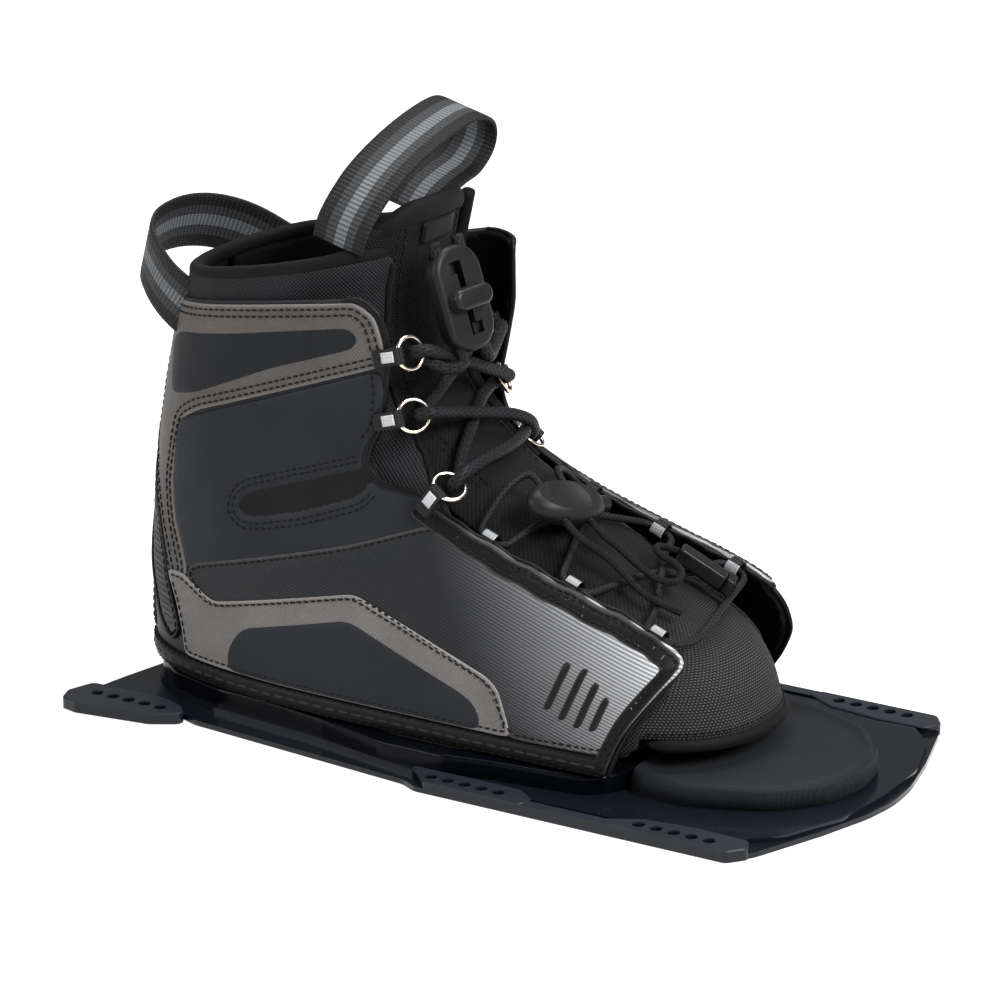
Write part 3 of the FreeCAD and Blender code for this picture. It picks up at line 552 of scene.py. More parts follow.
class Wall:
    """Carries (u, z) to space: u is the distance in mm round the wall from the heel's middle."""
    Z0, Z1, DZ = 2.0, 240.0, 2.0
    U0, U1, DU = -80.0, 420.0, 1.0

    def __init__(self, bootie):
        self.z = np.arange(self.Z0, self.Z1 + 1, self.DZ)
        self.u = np.arange(self.U0, self.U1 + 1, self.DU)
        turns = np.linspace(math.pi, -math.pi / 2, 1500)
        rows = []
        for z in self.z:
            ring = wall_point(turns, z, 0.0, bootie)
            length = np.concatenate([[0], np.cumsum(np.linalg.norm(np.diff(ring, axis=0), axis=1))])
            ahead = np.abs(self.u)
            row = np.stack([np.interp(ahead, length, ring[:, k]) for k in range(3)], -1)
            row[:, 1] *= np.where(self.u < 0, 1.0, -1.0)
            rows.append(row)
        self.place_grid = np.array(rows)
        across = np.gradient(self.place_grid, self.DU, axis=1)
        upward = np.gradient(self.place_grid, self.DZ, axis=0)
        normal = np.cross(across, upward)
        normal /= np.linalg.norm(normal, axis=-1, keepdims=True)
        self.normal_grid = normal

    def _read(self, grid, u, z):
        i = np.clip((z - self.Z0) / self.DZ, 0, grid.shape[0] - 1.001)
        j = np.clip((u - self.U0) / self.DU, 0, grid.shape[1] - 1.001)
        i0, j0 = i.astype(int), j.astype(int)
        a, b = (i - i0)[:, None], (j - j0)[:, None]
        return ((grid[i0, j0] * (1 - b) + grid[i0, j0 + 1] * b) * (1 - a)
                + (grid[i0 + 1, j0] * (1 - b) + grid[i0 + 1, j0 + 1] * b) * a)

    def at(self, uz, lift=0.0, side=LATERAL):
        """Positions and normals for rows of (u, z)."""
        uz = np.asarray(uz, float)
        place = self._read(self.place_grid, uz[:, 0], uz[:, 1])
        normal = self._read(self.normal_grid, uz[:, 0], uz[:, 1])
        normal /= np.linalg.norm(normal, axis=1, keepdims=True)
        place = place + normal * np.asarray(lift, float).reshape(-1, 1)
        if side == MEDIAL:
            place = place * (1, -1, 1)
            normal = normal * (1, -1, 1)
        return place, normal

    def u_at(self, x, z, limit):
        """u of the point at (x, z) in side view, no further round than y = -limit at the front."""
        i = int(round((min(max(z, self.Z0), self.Z1 - 2) - self.Z0) / self.DZ))
        row = self.place_grid[i]
        start = int(-self.U0 / self.DU)
        ahead = row[start:]
        inside = np.nonzero(ahead[:, 1] <= -limit)[0]
        last = inside[-1] if len(inside) else len(ahead) - 1
        u = np.interp(x, ahead[:last + 1, 0], self.u[start:start + last + 1])
        return min(u, self.u[start + last])


WALL = Wall(False)


def walk(points, closed, step):
    """Points at even steps along a polyline."""
    points = np.asarray(points, float)
    if closed:
        points = np.vstack([points, points[:1]])
    runs = np.linalg.norm(np.diff(points, axis=0), axis=1)
    along = np.concatenate([[0], np.cumsum(runs)])
    count = max(4, int(round(along[-1] / step)))
    stations = np.linspace(0, along[-1], count + 1)
    if closed:
        stations = stations[:-1]
    return np.stack([np.interp(stations, along, points[:, k]) for k in range(points.shape[1])], -1)


def soften(points, closed, sigma, step):
    """Round the corners of an evenly stepped polyline."""
    reach = int(3 * sigma / step) + 1
    kernel = np.exp(-0.5 * (np.arange(-reach, reach + 1) * step / sigma) ** 2)
    kernel /= kernel.sum()
    mode = "wrap" if closed else "edge"
    padded = np.pad(points, ((reach, reach), (0, 0)), mode=mode)
    if not closed:
        padded[:reach] = 2 * points[0] - points[1:reach + 1][::-1]
        padded[-reach:] = 2 * points[-1] - points[-reach - 1:-1][::-1]
    return np.stack([np.convolve(padded[:, k], kernel, mode="valid")
                     for k in range(points.shape[1])], -1)


def outline(points, side=LATERAL, margin=0.0, corner=2.5, closed=True, step=1.4):
    """A side-view outline (x, z) as a smooth (u, z) outline on the wall."""
    dense = walk(points, closed, 3.0)
    limit = THROAT[side] + margin
    uz = np.array([(WALL.u_at(x, z, limit), z) for x, z in dense])
    uz = walk(uz, closed, step)
    return soften(uz, closed, corner, step)


def inside(points, ring):
    """Even-odd test."""
    x, y = points[:, 0:1], points[:, 1:2]
    x0, y0 = ring[:, 0], ring[:, 1]
    x1, y1 = np.roll(x0, -1), np.roll(y0, -1)
    crosses = (y0 > y) != (y1 > y)
    with np.errstate(divide="ignore", invalid="ignore"):
        at = (x1 - x0) * (y - y0) / (y1 - y0) + x0
    return (np.sum(crosses & (x < at), axis=1) % 2) == 1


def distance_to(points, ring):
    """Distance from each point to a closed outline."""
    a, b = ring, np.roll(ring, -1, axis=0)
    best = np.full(len(points), 1e9)
    for start in range(0, len(points), 4000):
        block = points[start:start + 4000, None, :]
        t = np.clip(((block - a) * (b - a)).sum(-1) / np.maximum(((b - a) ** 2).sum(-1), 1e-9), 0, 1)
        gap = np.linalg.norm(block - (a + t[..., None] * (b - a)), axis=-1)
        best[start:start + 4000] = gap.min(1)
    return best


def inset_ring(ring, d):
    """The outline moved inwards, and which of its points are clear of the outline's other parts."""
    tangent = np.roll(ring, -1, axis=0) - np.roll(ring, 1, axis=0)
    tangent /= np.maximum(np.linalg.norm(tangent, axis=1, keepdims=True), 1e-9)
    area = np.sum(ring[:, 0] * np.roll(ring[:, 1], -1) - np.roll(ring[:, 0], -1) * ring[:, 1])
    normal = np.stack([-tangent[:, 1], tangent[:, 0]], -1) * np.sign(area)
    moved = ring + normal * d
    keep = distance_to(moved, ring) > 0.96 * d
    return moved, keep


def fill(ring, rings, spacing):
    """Triangles inside an outline, with rows of points along its edge."""
    points = [ring]
    for d in rings:
        moved, keep = inset_ring(ring, d)
        points.append(moved[keep][::1 if d < 1 else 2])
    low, high = ring.min(0), ring.max(0)
    rows = []
    for k, v in enumerate(np.arange(low[1], high[1], spacing * 0.87)):
        us = np.arange(low[0] + (spacing / 2 if k % 2 else 0), high[0], spacing)
        rows.append(np.stack([us, np.full(len(us), v)], -1))
    grid = np.concatenate(rows)
    grid = grid[inside(grid, ring)]
    grid = grid[distance_to(grid, ring) > (max(rings) if rings else 0) + spacing * 0.6]
    points.append(grid)
    flat = np.concatenate(points)
    count = len(ring)
    edges = [(k, (k + 1) % count) for k in range(count)]
    verts, _, faces, _, _, _ = geometry.delaunay_2d_cdt([Vector(p) for p in flat], edges, [], 1, 1e-4)
    verts = np.array([tuple(v) for v in verts])
    return verts, [tuple(f) for f in faces]


# ------------------------------------------------------------------ making pieces
MATERIALS = {}


def piece(name, verts, faces, material, body="boot", cloth=None, edge=None, stands_for=(),
          thick=None, inner=None):
    """One object from points in mm, riding a body."""
    mesh = bpy.data.meshes.new(name)
    mesh.from_pydata([tuple(v) for v in np.asarray(verts) * MM], [], [tuple(f) for f in faces])
    mesh.validate()
    mesh.materials.append(MATERIALS[material])
    if inner:
        mesh.materials.append(MATERIALS[inner])
    if cloth is None:
        cloth = np.asarray(verts)[:, [0, 2]]
    layer = mesh.uv_layers.new(name="cloth")
    index = np.empty(len(mesh.loops), int)
    mesh.loops.foreach_get("vertex_index", index)
    layer.data.foreach_set("uv", np.asarray(cloth, float)[index].astype(np.float32).ravel())
    worn = mesh.attributes.new("edge", "FLOAT", "POINT")
    values = np.zeros(len(mesh.vertices)) if edge is None else np.asarray(edge, float)
    worn.data.foreach_set("value", values.astype(np.float32))
    mesh.polygons.foreach_set("use_smooth", [True] * len(mesh.polygons))
    mesh.update()
    made = bpy.data.objects.new(name, mesh)
    bpy.context.scene.collection.objects.link(made)
    if thick:
        solid = made.modifiers.new("thickness", "SOLIDIFY")
        solid.thickness = thick * MM
        solid.offset = -1.0
        if inner:
            solid.material_offset = 1
    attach(made, body)
    if stands_for:
        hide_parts(*stands_for)
    return made


def tube_faces(rows, sides, turned_in=False, closed=False):
    """Quads between rings of points, and a cap on each free end; turned_in swaps their direction."""
    faces = []
    for i in range(rows if closed else rows - 1):
        j = (i + 1) % rows
        for k in range(sides):
            n = (k + 1) % sides
            a, b, c, d = i * sides + k, i * sides + n, j * sides + n, j * sides + k
            faces.append((a, d, c, b) if turned_in else (a, b, c, d))
    if not closed:
        first = tuple(range(sides))
        last = tuple(range((rows - 1) * sides, rows * sides))
        faces += [first, last[::-1]] if turned_in else [first[::-1], last]
    return faces


def outward(verts, faces, normals):
    """Faces turned so that they look along the wall's normals."""
    a, b, c = verts[[f[0] for f in faces]], verts[[f[1] for f in faces]], verts[[f[2] for f in faces]]
    facing = np.einsum("ij,ij->i", np.cross(b - a, c - a), normals[[f[0] for f in faces]])
    return [f if good >= 0 else f[::-1] for f, good in zip(faces, facing)]


def overlay(name, ring, material, lift=0.0, thick=1.2, side=LATERAL, edge=1.2, spacing=2.6,
            grooves=(), wall=None, back=0.8, inner=None, shape=None, **kwargs):
    """A panel on the wall: rounded edge, pressed stitch lines and a closed underside."""
    wall = wall or WALL
    rings = sorted([edge * 0.12, edge * 0.4, edge] + [g + o for g in grooves for o in (-0.6, 0, 0.6)])
    flat, faces = fill(ring, rings, spacing)
    d = distance_to(flat, ring)
    share = np.clip(d / edge, 0, 1)
    height = lift + thick * np.sqrt(np.clip(1 - (1 - share) ** 2, 0, 1))
    for g in grooves:
        height -= 0.3 * np.exp(-((d - g) / 0.55) ** 2)
    if shape is not None:
        height = height + shape(flat, d)
    verts, normals = wall.at(flat, height, side)
    faces = outward(verts, faces, normals)
    return piece(name, verts, faces, material, cloth=flat, edge=np.exp(-d / (0.5 * edge)),
                 thick=thick + back, inner=inner, **kwargs)


def capsules(name, starts, ends, ups, radius, material, body="boot"):
    """Many short rounded threads in one mesh."""
    profile = [(0.0, 0.15), (0.12, 0.75), (0.35, 1.0), (0.65, 1.0), (0.88, 0.75), (1.0, 0.15)]
    sides = 6
    verts, faces, cloth = [], [], []
    for p, q, up in zip(starts, ends, ups):
        along = q - p
        length = np.linalg.norm(along)
        if length < 0.2:
            continue
        along = along / length
        side = np.cross(along, up)
        side /= np.linalg.norm(side)
        rise = np.cross(side, along)
        first = len(verts)
        for share, size in profile:
            centre = p + along * length * share
            for k in range(sides):
                angle = 2 * math.pi * k / sides
                verts.append(centre + radius * size * (math.cos(angle) * side + math.sin(angle) * rise))
                cloth.append((share * length, k / sides * 2))
        faces += [tuple(first + k for k in face) for face in tube_faces(len(profile), sides)]
    return piece(name, np.array(verts), faces, material, body=body, cloth=np.array(cloth))


class Stitching:
    """Collects stitches along paths on the wall, to be made as one piece."""

    def __init__(self):
        self.starts, self.ends, self.ups = [], [], []

    def along(self, place, normal, length=2.5, gap=0.9):
        """A row of stitches along a path in space."""
        runs = np.linalg.norm(np.diff(place, axis=0), axis=1)
        at = np.concatenate([[0], np.cumsum(runs)])
        begin = 0.0
        while begin + length < at[-1]:
            pair = []
            for s in (begin, begin + length):
                pair.append(np.array([np.interp(s, at, place[:, k]) for k in range(3)]))
            middle = begin + length / 2
            up = np.array([np.interp(middle, at, normal[:, k]) for k in range(3)])
            self.starts.append(pair[0])
            self.ends.append(pair[1])
            self.ups.append(up)
            begin += length + gap

    def round_panel(self, ring, d, lift, side=LATERAL, length=2.5, gap=0.9, wall=None, within=None):
        """A row set in from a panel's edge, broken where there is no room for it."""
        moved, keep = inset_ring(ring, d)
        if within is not None:
            keep = keep & inside(moved, within) & (distance_to(moved, within) > 1.4)
        wall = wall or WALL
        count = len(ring)
        start = int(np.argmin(keep)) if not keep.all() else 0
        order = [(start + k) % count for k in range(count + 1)]
        run = []
        for k in order:
            if keep[k]:
                run.append(moved[k])
                continue
            self._flush(run, lift, side, length, gap, wall)
            run = []
        self._flush(run, lift, side, length, gap, wall)

    def _flush(self, run, lift, side, length, gap, wall):
        if len(run) > 4:
            place, normal = wall.at(np.array(run), lift, side)
            self.along(place, normal, length, gap)

    def make(self, name, radius=0.42, material="thread", body="boot"):
        return capsules(name, self.starts, self.ends, self.ups, radius, material, body)


def frames(path):
    """Tangent and a steady pair of side directions along a path."""
    tangent = np.gradient(path, axis=0)
    tangent /= np.linalg.norm(tangent, axis=1, keepdims=True)
    up = np.cross(tangent[0], (0.3, 0.5, 0.8))
    up /= np.linalg.norm(up)
    ups = []
    for t in tangent:
        up = up - t * np.dot(up, t)
        up /= np.linalg.norm(up)
        ups.append(up)
    ups = np.array(ups)
    return tangent, ups, np.cross(tangent, ups)


def cord_mesh(name, path, radius, material, sides=16, closed=False, body="boot", bulge=None, **kwargs):
    """A round cord along a path in space."""
    path = np.asarray(path, float)
    total = len(path)
    if closed:
        _, a, b = [v[3:-3] for v in frames(np.vstack([path[-3:], path, path[:3]]))]
    else:
        _, a, b = frames(path)
    run = np.concatenate([[0], np.cumsum(np.linalg.norm(np.diff(path, axis=0), axis=1))])
    angle = np.linspace(0, 2 * math.pi, sides, endpoint=False)
    size = np.full((total, sides), float(radius))
    if bulge is not None:
        size = size * bulge(run[:, None], angle[None, :])
    around = np.cos(angle)[None, :, None] * a[:, None, :] + np.sin(angle)[None, :, None] * b[:, None, :]
    verts = (path[:, None, :] + size[..., None] * around).reshape(-1, 3)
    cloth = np.stack([np.repeat(run, sides), np.tile(angle / (2 * math.pi), total)], -1)
    faces = tube_faces(total, sides, closed=closed)
    return piece(name, verts, faces, material, body=body, cloth=cloth, **kwargs)


def arc_route(points, step=0.8, share=0.45):
    """Straight runs joined by arcs, as even steps."""
    points = np.asarray(points, float)
    out = [points[0]]
    for i in range(1, len(points) - 1):
        before, after = points[i - 1] - points[i], points[i + 1] - points[i]
        reach = share * min(np.linalg.norm(before), np.linalg.norm(after))
        start = points[i] + before / np.linalg.norm(before) * reach
        end = points[i] + after / np.linalg.norm(after) * reach
        for t in np.linspace(0, 1, 9):
            out.append((1 - t) ** 2 * start + 2 * t * (1 - t) * points[i] + t ** 2 * end)
    out.append(points[-1])
    return walk(np.array(out), False, step)


# ------------------------------------------------------------------ the sewn upper
WORD = {LATERAL: "lateral", MEDIAL: "medial"}
NOTCH = [(-24, 109), (-38, 110.5), (-45.5, 118), (-43, 127), (-39, 133)]
SHIN = [(-36.5, 150), (-34.5, 168), (-36.5, 182)]
CUFF = [(-158, 128), (-155, 150), (-153, 168), (-110, 176), (-60, 184.5), (-47, 187), (-39, 182),
        (-36, 170), (-36, 161), (-128, 127), (-138, 121), (-145, 92), (-143, 75), (-134, 58),
        (-134, 50), (-144, 48), (-148, 54), (-155, 68), (-161, 90), (-162, 112)]
CUFF_INSET = [(-145, 130), (-146, 153), (-138, 158), (-50, 176), (-45, 172), (-49, 167), (-90, 152),
              (-130, 134)]
ANKLE = [(-140, 121), (-38, 159), (-37, 150), (-40, 133), (-45, 127), (-48, 118), (-40, 109),
         (-25, 107), (20, 103), (20, 95), (-14, 95), (-84, 70), (-134, 57), (-143, 76), (-145, 92),
         (-142, 116)]
SLOT = [(-40, 120), (-102, 98), (-108, 93), (-108, 87), (-101, 85), (-75, 92), (-47, 103), (-41, 110)]
SLOT_FRONT_SEAM = [(-41, 157), (-41, 149), (-43, 134), (-48, 128)]
FOREFOOT_BACK = [(34, 21), (20, 41), (-43, 62), (-113, 45), (-118, 45), (-135, 54), (-132, 60),
                 (-50, 84), (-14, 98), (60, 98)]
FOREFOOT_TOE = {LATERAL: [(140, 92), (140, 66), (112, 66), (102, 56), (87, 35), (80, 22)],
                MEDIAL: [(140, 92), (140, 72), (84, 65), (92, 56), (95, 45), (88, 32), (80, 22)]}
MARK_RIBS = [(49, 36, 57), (56, 33, 55), (63, 31, 51), (70, 31, 46)]
LOWER = [(-146, 54), (-135, 55), (-116, 48), (-45, 65), (22, 44), (28, 40), (36, 21.5), (-131, 21.5),
         (-133, 30), (-138, 42)]
LOWER_INSET = [(-105, 22), (-105, 32), (-98, 41), (-46, 54), (12, 35), (19, 31), (22, 22)]
HEEL_STRIP = [(-190, 109), (-167, 109), (-160, 80), (-146, 48), (-137, 31), (-141, 26), (-150, 32),
              (-161, 54), (-170, 84), (-190, 97)]


def upper_outline(side):
    """The upper's outline in side view; the lateral half has a cut-out for the rings."""
    top = [(-45, 189), (-60, 186), (-110, 177.5), (-152, 170), (-190, 166)]
    if side == MEDIAL:
        top = [(-44, 195), (-60, 191), (-110, 179.5), (-152, 170), (-190, 166)]
    front = [(130, 69), (130, 104)]
    notch = NOTCH if side == LATERAL else [(-20, 112), (-20, 130)]
    shin = SHIN if side == LATERAL else [(130, 140), (130, 184)]
    return [(-190, 12.3), (79, 12.3)] + TOE_EDGE[side] + front + notch + shin + top


def upper_half(side):
    """One half of the sewn upper, under all its panels."""
    ring = outline(upper_outline(side), side, corner=3.2)
    overlay("upper_%s" % WORD[side], ring, "base", lift=-0.6, thick=0.6, side=side, edge=0.9,
            back=SHELL_THICK - 0.7, inner="inner_film", spacing=3.2,
            stands_for=["upper_%s" % WORD[side]])
    return ring


def recess(slot):
    """A hollow pressed 0.9 mm into a panel inside the slot's outline."""
    def shape(flat, _):
        depth = np.where(inside(flat, slot), np.clip(distance_to(flat, slot) / 1.3, 0, 1), 0.0)
        return -0.9 * depth * depth * (3 - 2 * depth)
    return shape


def panels(side, sewing):
    """The films sewn on one half of the upper."""
    word = WORD[side]

    def add(name, points, material, lift, thick, rows=(), corner=2.2, **kwargs):
        ring = outline(points, side, margin=0.6, corner=corner)
        overlay("%s_%s" % (word, name), ring, material, lift=lift, thick=thick, side=side,
                grooves=rows, **kwargs)
        for d in rows:
            sewing.round_panel(ring, d, lift + thick + 0.02, side)
        return ring

    add("cuff_panel", CUFF, "taupe", 0.0, 1.0, rows=(2.2, 5.0), stands_for=[word + "_cuff_panel"])
    add("cuff_inset", CUFF_INSET, "inset", 0.95, 0.28, corner=2.6, edge=0.6)
    slot = outline(SLOT, side, margin=0.6, corner=3.0)
    ankle = add("ankle_panel", ANKLE, "slate", 0.0, 1.0, spacing=1.4, shape=recess(slot),
                stands_for=[word + "_ankle_panel"])
    overlay("%s_ankle_slot" % word, slot, "slot", lift=-0.2, thick=0.42, side=side, edge=0.8)
    for d in (-1.8, -4.2):
        sewing.round_panel(slot, d, 1.02, side, within=ankle)
    seam = outline(SLOT_FRONT_SEAM, side, margin=0.6, closed=False)
    place, normal = WALL.at(seam, 1.02, side)
    sewing.along(place, normal)
    forefoot = FOREFOOT_BACK + FOREFOOT_TOE[side]
    add("forefoot_panel", forefoot, "carbon", 0.5, 0.9, rows=(1.9,),
        stands_for=[word + "_forefoot_panel"], spacing=3.0, corner=3.5)
    # the lower panel takes the lighter copy of the taupe film: painted light
    add("lower_panel", LOWER, "lower_band_painted_light", 0.85, 0.95, rows=(2.0,), stands_for=[word + "_lower_panel"])
    add("lower_inset", LOWER_INSET, "slate", 1.7, 0.3, corner=3.0, edge=0.6)
    for k, (x, low, high) in enumerate(MARK_RIBS):
        slant = (high - low) * 0.38
        rib = [(x, low), (x + 3.4, low), (x + 3.4 + slant, high), (x + slant, high)]
        add("mark_rib_%d" % (k + 1), rib, "inner_film", 1.25, 0.75, corner=0.9, edge=0.9, spacing=1.2)


def heel_ribs(flat, d):
    """Level ridges, fading out at the edge of the strip."""
    ridge = np.clip(np.sin(2 * math.pi * flat[:, 1] / 2.35), -0.6, 1)
    return 0.5 * ridge * np.clip((d - 1.6) / 0.8, 0, 1)


def heel_strips(side, sewing):
    """A ribbed rubber strip that runs round the heel, with its piping."""
    ring = outline(HEEL_STRIP, side, corner=1.8)
    overlay("%s_heel_strip" % WORD[side], ring, "ribs", lift=0.0, thick=0.9, side=side, edge=1.0,
            spacing=0.8, shape=heel_ribs, stands_for=["%s_heel_strip" % WORD[side]])
    moved, _ = inset_ring(ring, -1.3)
    place, _ = WALL.at(moved, 0.5, side)
    cord_mesh("%s_heel_piping" % WORD[side], walk(place, True, 1.5), 1.0, "black_film", sides=8,
              closed=True)
    sewing.round_panel(ring, 0.2, 1.1, side)


def heel_counter(sewing):
    """The moulded cup between the heel strips."""
    half = [(0, 78), (9, 70), (18, 55), (28, 38), (35, 27), (34, 22), (0, 22)]
    ring = np.array(half + [(-u, z) for u, z in half[::-1] if u > 0], float)
    ring = soften(walk(ring, True, 1.4), True, 1.6, 1.4)
    overlay("heel_counter", ring, "slate", lift=0.0, thick=1.1, edge=1.2, grooves=(2.0,),
            stands_for=["heel_counter"])
    sewing.round_panel(ring, 2.0, 1.1)


def edge_line(side):
    """The upper's free edge from the cuff's top to the toe, as (u, z)."""
    notch = NOTCH[::-1] if side == LATERAL else [(-20, 130), (-20, 112)]
    top = [(-52, 187.6), (-44, 188.6)] if side == LATERAL else [(-48, 193), (-41, 193.5)]
    shin = SHIN[::-1] if side == LATERAL else [(130, 184), (130, 140)]
    points = top + shin + notch + [(130, 104), (130, 69)] + TOE_EDGE[side][::-1]
    return outline(points, side, closed=False, corner=3.2)


def edge_trim(side, sewing):
    """A black bound band and a round rim along the upper's free edge."""
    line = edge_line(side)
    place, _ = WALL.at(line, -0.5, side)
    cord_mesh("%s_edge_rim" % WORD[side], walk(place, False, 1.2), 1.15, "black_film", sides=10)
    tangent = np.gradient(line, axis=0)
    tangent /= np.linalg.norm(tangent, axis=1, keepdims=True)
    inward = np.stack([tangent[:, 1], -tangent[:, 0]], -1)
    centre = np.array([60.0, 60.0])
    if np.dot(inward[len(line) // 2], centre - line[len(line) // 2]) < 0:
        inward = -inward
    lower = line[:, 1] < 107
    start = int(np.argmax(lower))
    line, inward = line[start:], inward[start:]

    def parallel(depth):
        """The free edge moved inwards, without the points that a tight corner would fold over."""
        moved = line + inward * depth
        gap = np.linalg.norm(moved[:, None] - line[None], axis=-1).min(1)
        return moved[gap > 0.97 * depth]

    ring = walk(np.vstack([parallel(1.0), parallel(6.8)[::-1]]), True, 1.4)
    ring = soften(ring, True, 1.0, 1.4)
    overlay("%s_edge_band" % WORD[side], ring, "black_film", lift=1.25, thick=0.4, side=side,
            edge=0.8, grooves=(1.5,), spacing=2.0)
    if side == MEDIAL:
        return
    for depth in (2.3, 5.3):
        place, normal = WALL.at(soften(walk(parallel(depth), False, 1.2), False, 1.5, 1.2), 1.68, side)
        sewing.along(place, normal)


def welt(side, sewing):
    """The band round the boot's foot, with one heavy row of stitches between two fine ones."""
    ring = outline([(-190, 12.6), (78.5, 12.6), (79, 21), (-190, 21)], side, corner=0.8)
    stitch_level = 16.8

    def groove(flat, _):
        return -0.9 * np.exp(-((flat[:, 1] - stitch_level) / 0.9) ** 2)

    overlay("welt_%s" % WORD[side], ring, "welt", lift=0.0, thick=2.0, side=side, edge=3.0,
            spacing=1.8, shape=groove, stands_for=["welt"])
    along = np.arange(1.0, WALL.u_at(78, stitch_level, THROAT[LATERAL]), 1.0)
    path = np.stack([along, np.full(len(along), stitch_level)], -1)
    place, normal = WALL.at(path, 1.6, side)
    heavy = Stitching()
    heavy.along(place, normal, length=5.4, gap=1.1)
    for row in (20.4, 13.6):
        path = path * (1, 0) + (0, row)
        place, normal = WALL.at(path, 1.35, side)
        sewing.along(place, normal, 3.0, 1.0)
    heavy.make("%s_welt_stitches" % WORD[side], 0.75, "heavy_thread")


# ------------------------------------------------------------------ liner, collar, tongue
BOOTIE = Wall(True)


def profile(points, x):
    """Height of a drawn line at x."""
    return np.interp(x, [p[0] for p in points], [p[1] for p in points])


def bootie_limit(side, z):
    """How near the middle line the bootie's front edge comes at a height."""
    if side == MEDIAL:
        return 33.0
    return float(np.interp(z, [100.0, 125.0, 175.0], [36.0, 27.0, 23.5]))


def bootie_u(x, z, side):
    return BOOTIE.u_at(x, z, bootie_limit(side, z))


def bootie_outline(points, side, corner=1.5):
    """A side-view outline (x, z) as a smooth (u, z) outline on the bootie."""
    dense = walk(points, True, 3.0)
    uz = np.array([(bootie_u(x, z, side), z) for x, z in dense])
    return soften(walk(uz, True, 1.6), True, corner, 1.6)


def liner(side):
    """One half of the bootie, with its piped front edge."""
    low = [(x, z - 3.5) for x, z in COLLAR_TOP]
    points = [(-190, 15), (70, 15), (84, 20), (84, 30), (95, 45), (140, 60), (140, 198)]
    points += [(-50, 200)] + low[::-1][2:]
    ring = bootie_outline(points, side)
    overlay("liner_%s" % WORD[side], ring, "ballistic", lift=-0.6, thick=1.2, side=side, edge=1.5,
            wall=BOOTIE, back=LINER_THICK - 1.2, inner="neoprene", spacing=3.2, stands_for=["liner"])
    front = ring[(ring[:, 1] > 104) & (ring[:, 1] < 198)]
    u_edge = np.array([bootie_u(140, z, side) for z in front[:, 1]])
    front = front[np.abs(front[:, 0] - u_edge) < 1.5]
    front = front[np.argsort(front[:, 1])]
    place, _ = BOOTIE.at(front - (0.6, 0), 0.6, side)
    cord_mesh("%s_liner_piping" % WORD[side], walk(place, False, 1.5), 1.3, "neoprene", sides=8)


def collar():
    """The padded roll that tops the bootie, from one side of the throat round to the other."""
    top_u = {side: bootie_u(140, 196, side) for side in (LATERAL, MEDIAL)}
    out_size, up_size = COLLAR_SIZE
    stations = []
    for side, order in ((LATERAL, -1), (MEDIAL, 1)):
        us = np.arange(1.0, top_u[side], 2.0)[::order]
        stations += [(side, u) for u in us]
    rows, cloth = [], []
    sides = 16
    angle = np.linspace(0, 2 * math.pi, sides, endpoint=False)
    for i, (side, u) in enumerate(stations):
        z = 190.0
        for _ in range(4):
            x = BOOTIE.at([(u, z)], 0, side)[0][0, 0]
            z = profile(COLLAR_TOP, x) - up_size
        place, normal = BOOTIE.at([(u, z)], -2.2, side)
        end = min(i, len(stations) - 1 - i)
        size = min(1.0, 0.35 + 0.2 * end)
        flat = normal[0] * (1, 1, 0)
        flat /= np.linalg.norm(flat)
        wobble = 1 + 0.03 * math.sin(u * 0.21) + 0.02 * math.sin(u * 0.57 + side)
        for k, a in enumerate(angle):
            c, s = math.cos(a), math.sin(a)
            power = 0.82
            rows.append(place[0] + flat * out_size * size * math.copysign(abs(c) ** power, c)
                        + np.array([0, 0, up_size * size * wobble]) * math.copysign(abs(s) ** power, s))
            cloth.append((i * 2.0, k * 1.8))
    faces = tube_faces(len(stations), sides, turned_in=True)
    made = piece("liner_collar", rows, faces, "neoprene", cloth=cloth, stands_for=["liner_collar"])
    made.modifiers.new("round", "SUBSURF").levels = 1


def tongue_width(z, side):
    """Half width of the tongue's cloth; it spreads over the toes under the flaps."""
    narrow = 35.4 if side < 0 else 32.4
    half_width = np.interp(z, SMOOTH[0], SMOOTH[4]) - SHELL_THICK - LINER_GAP
    share = np.clip((z - 58.0) / 20.0, 0, 1)
    share = share * share * (3 - 2 * share)
    return 0.985 * half_width * (1 - share) + narrow * share


def tongue_point(y, z):
    """A point of the tongue's front face."""
    back, _, front, half_width = [np.interp(z, SMOOTH[0], SMOOTH[k]) for k in range(1, 5)]
    back = back + SHELL_THICK + LINER_GAP
    half_width = half_width - SHELL_THICK - LINER_GAP
    n = TOE_BLUNTNESS + (TONGUE_BLUNTNESS - TOE_BLUNTNESS) * np.clip((z - 50) / 40, 0, 1)
    reach = np.clip(1 - np.abs(y / half_width) ** n, 0, 1) ** (1 / n)
    return np.stack([(back + front) / 2 + (front - back) / 2 * reach, y, z], -1)


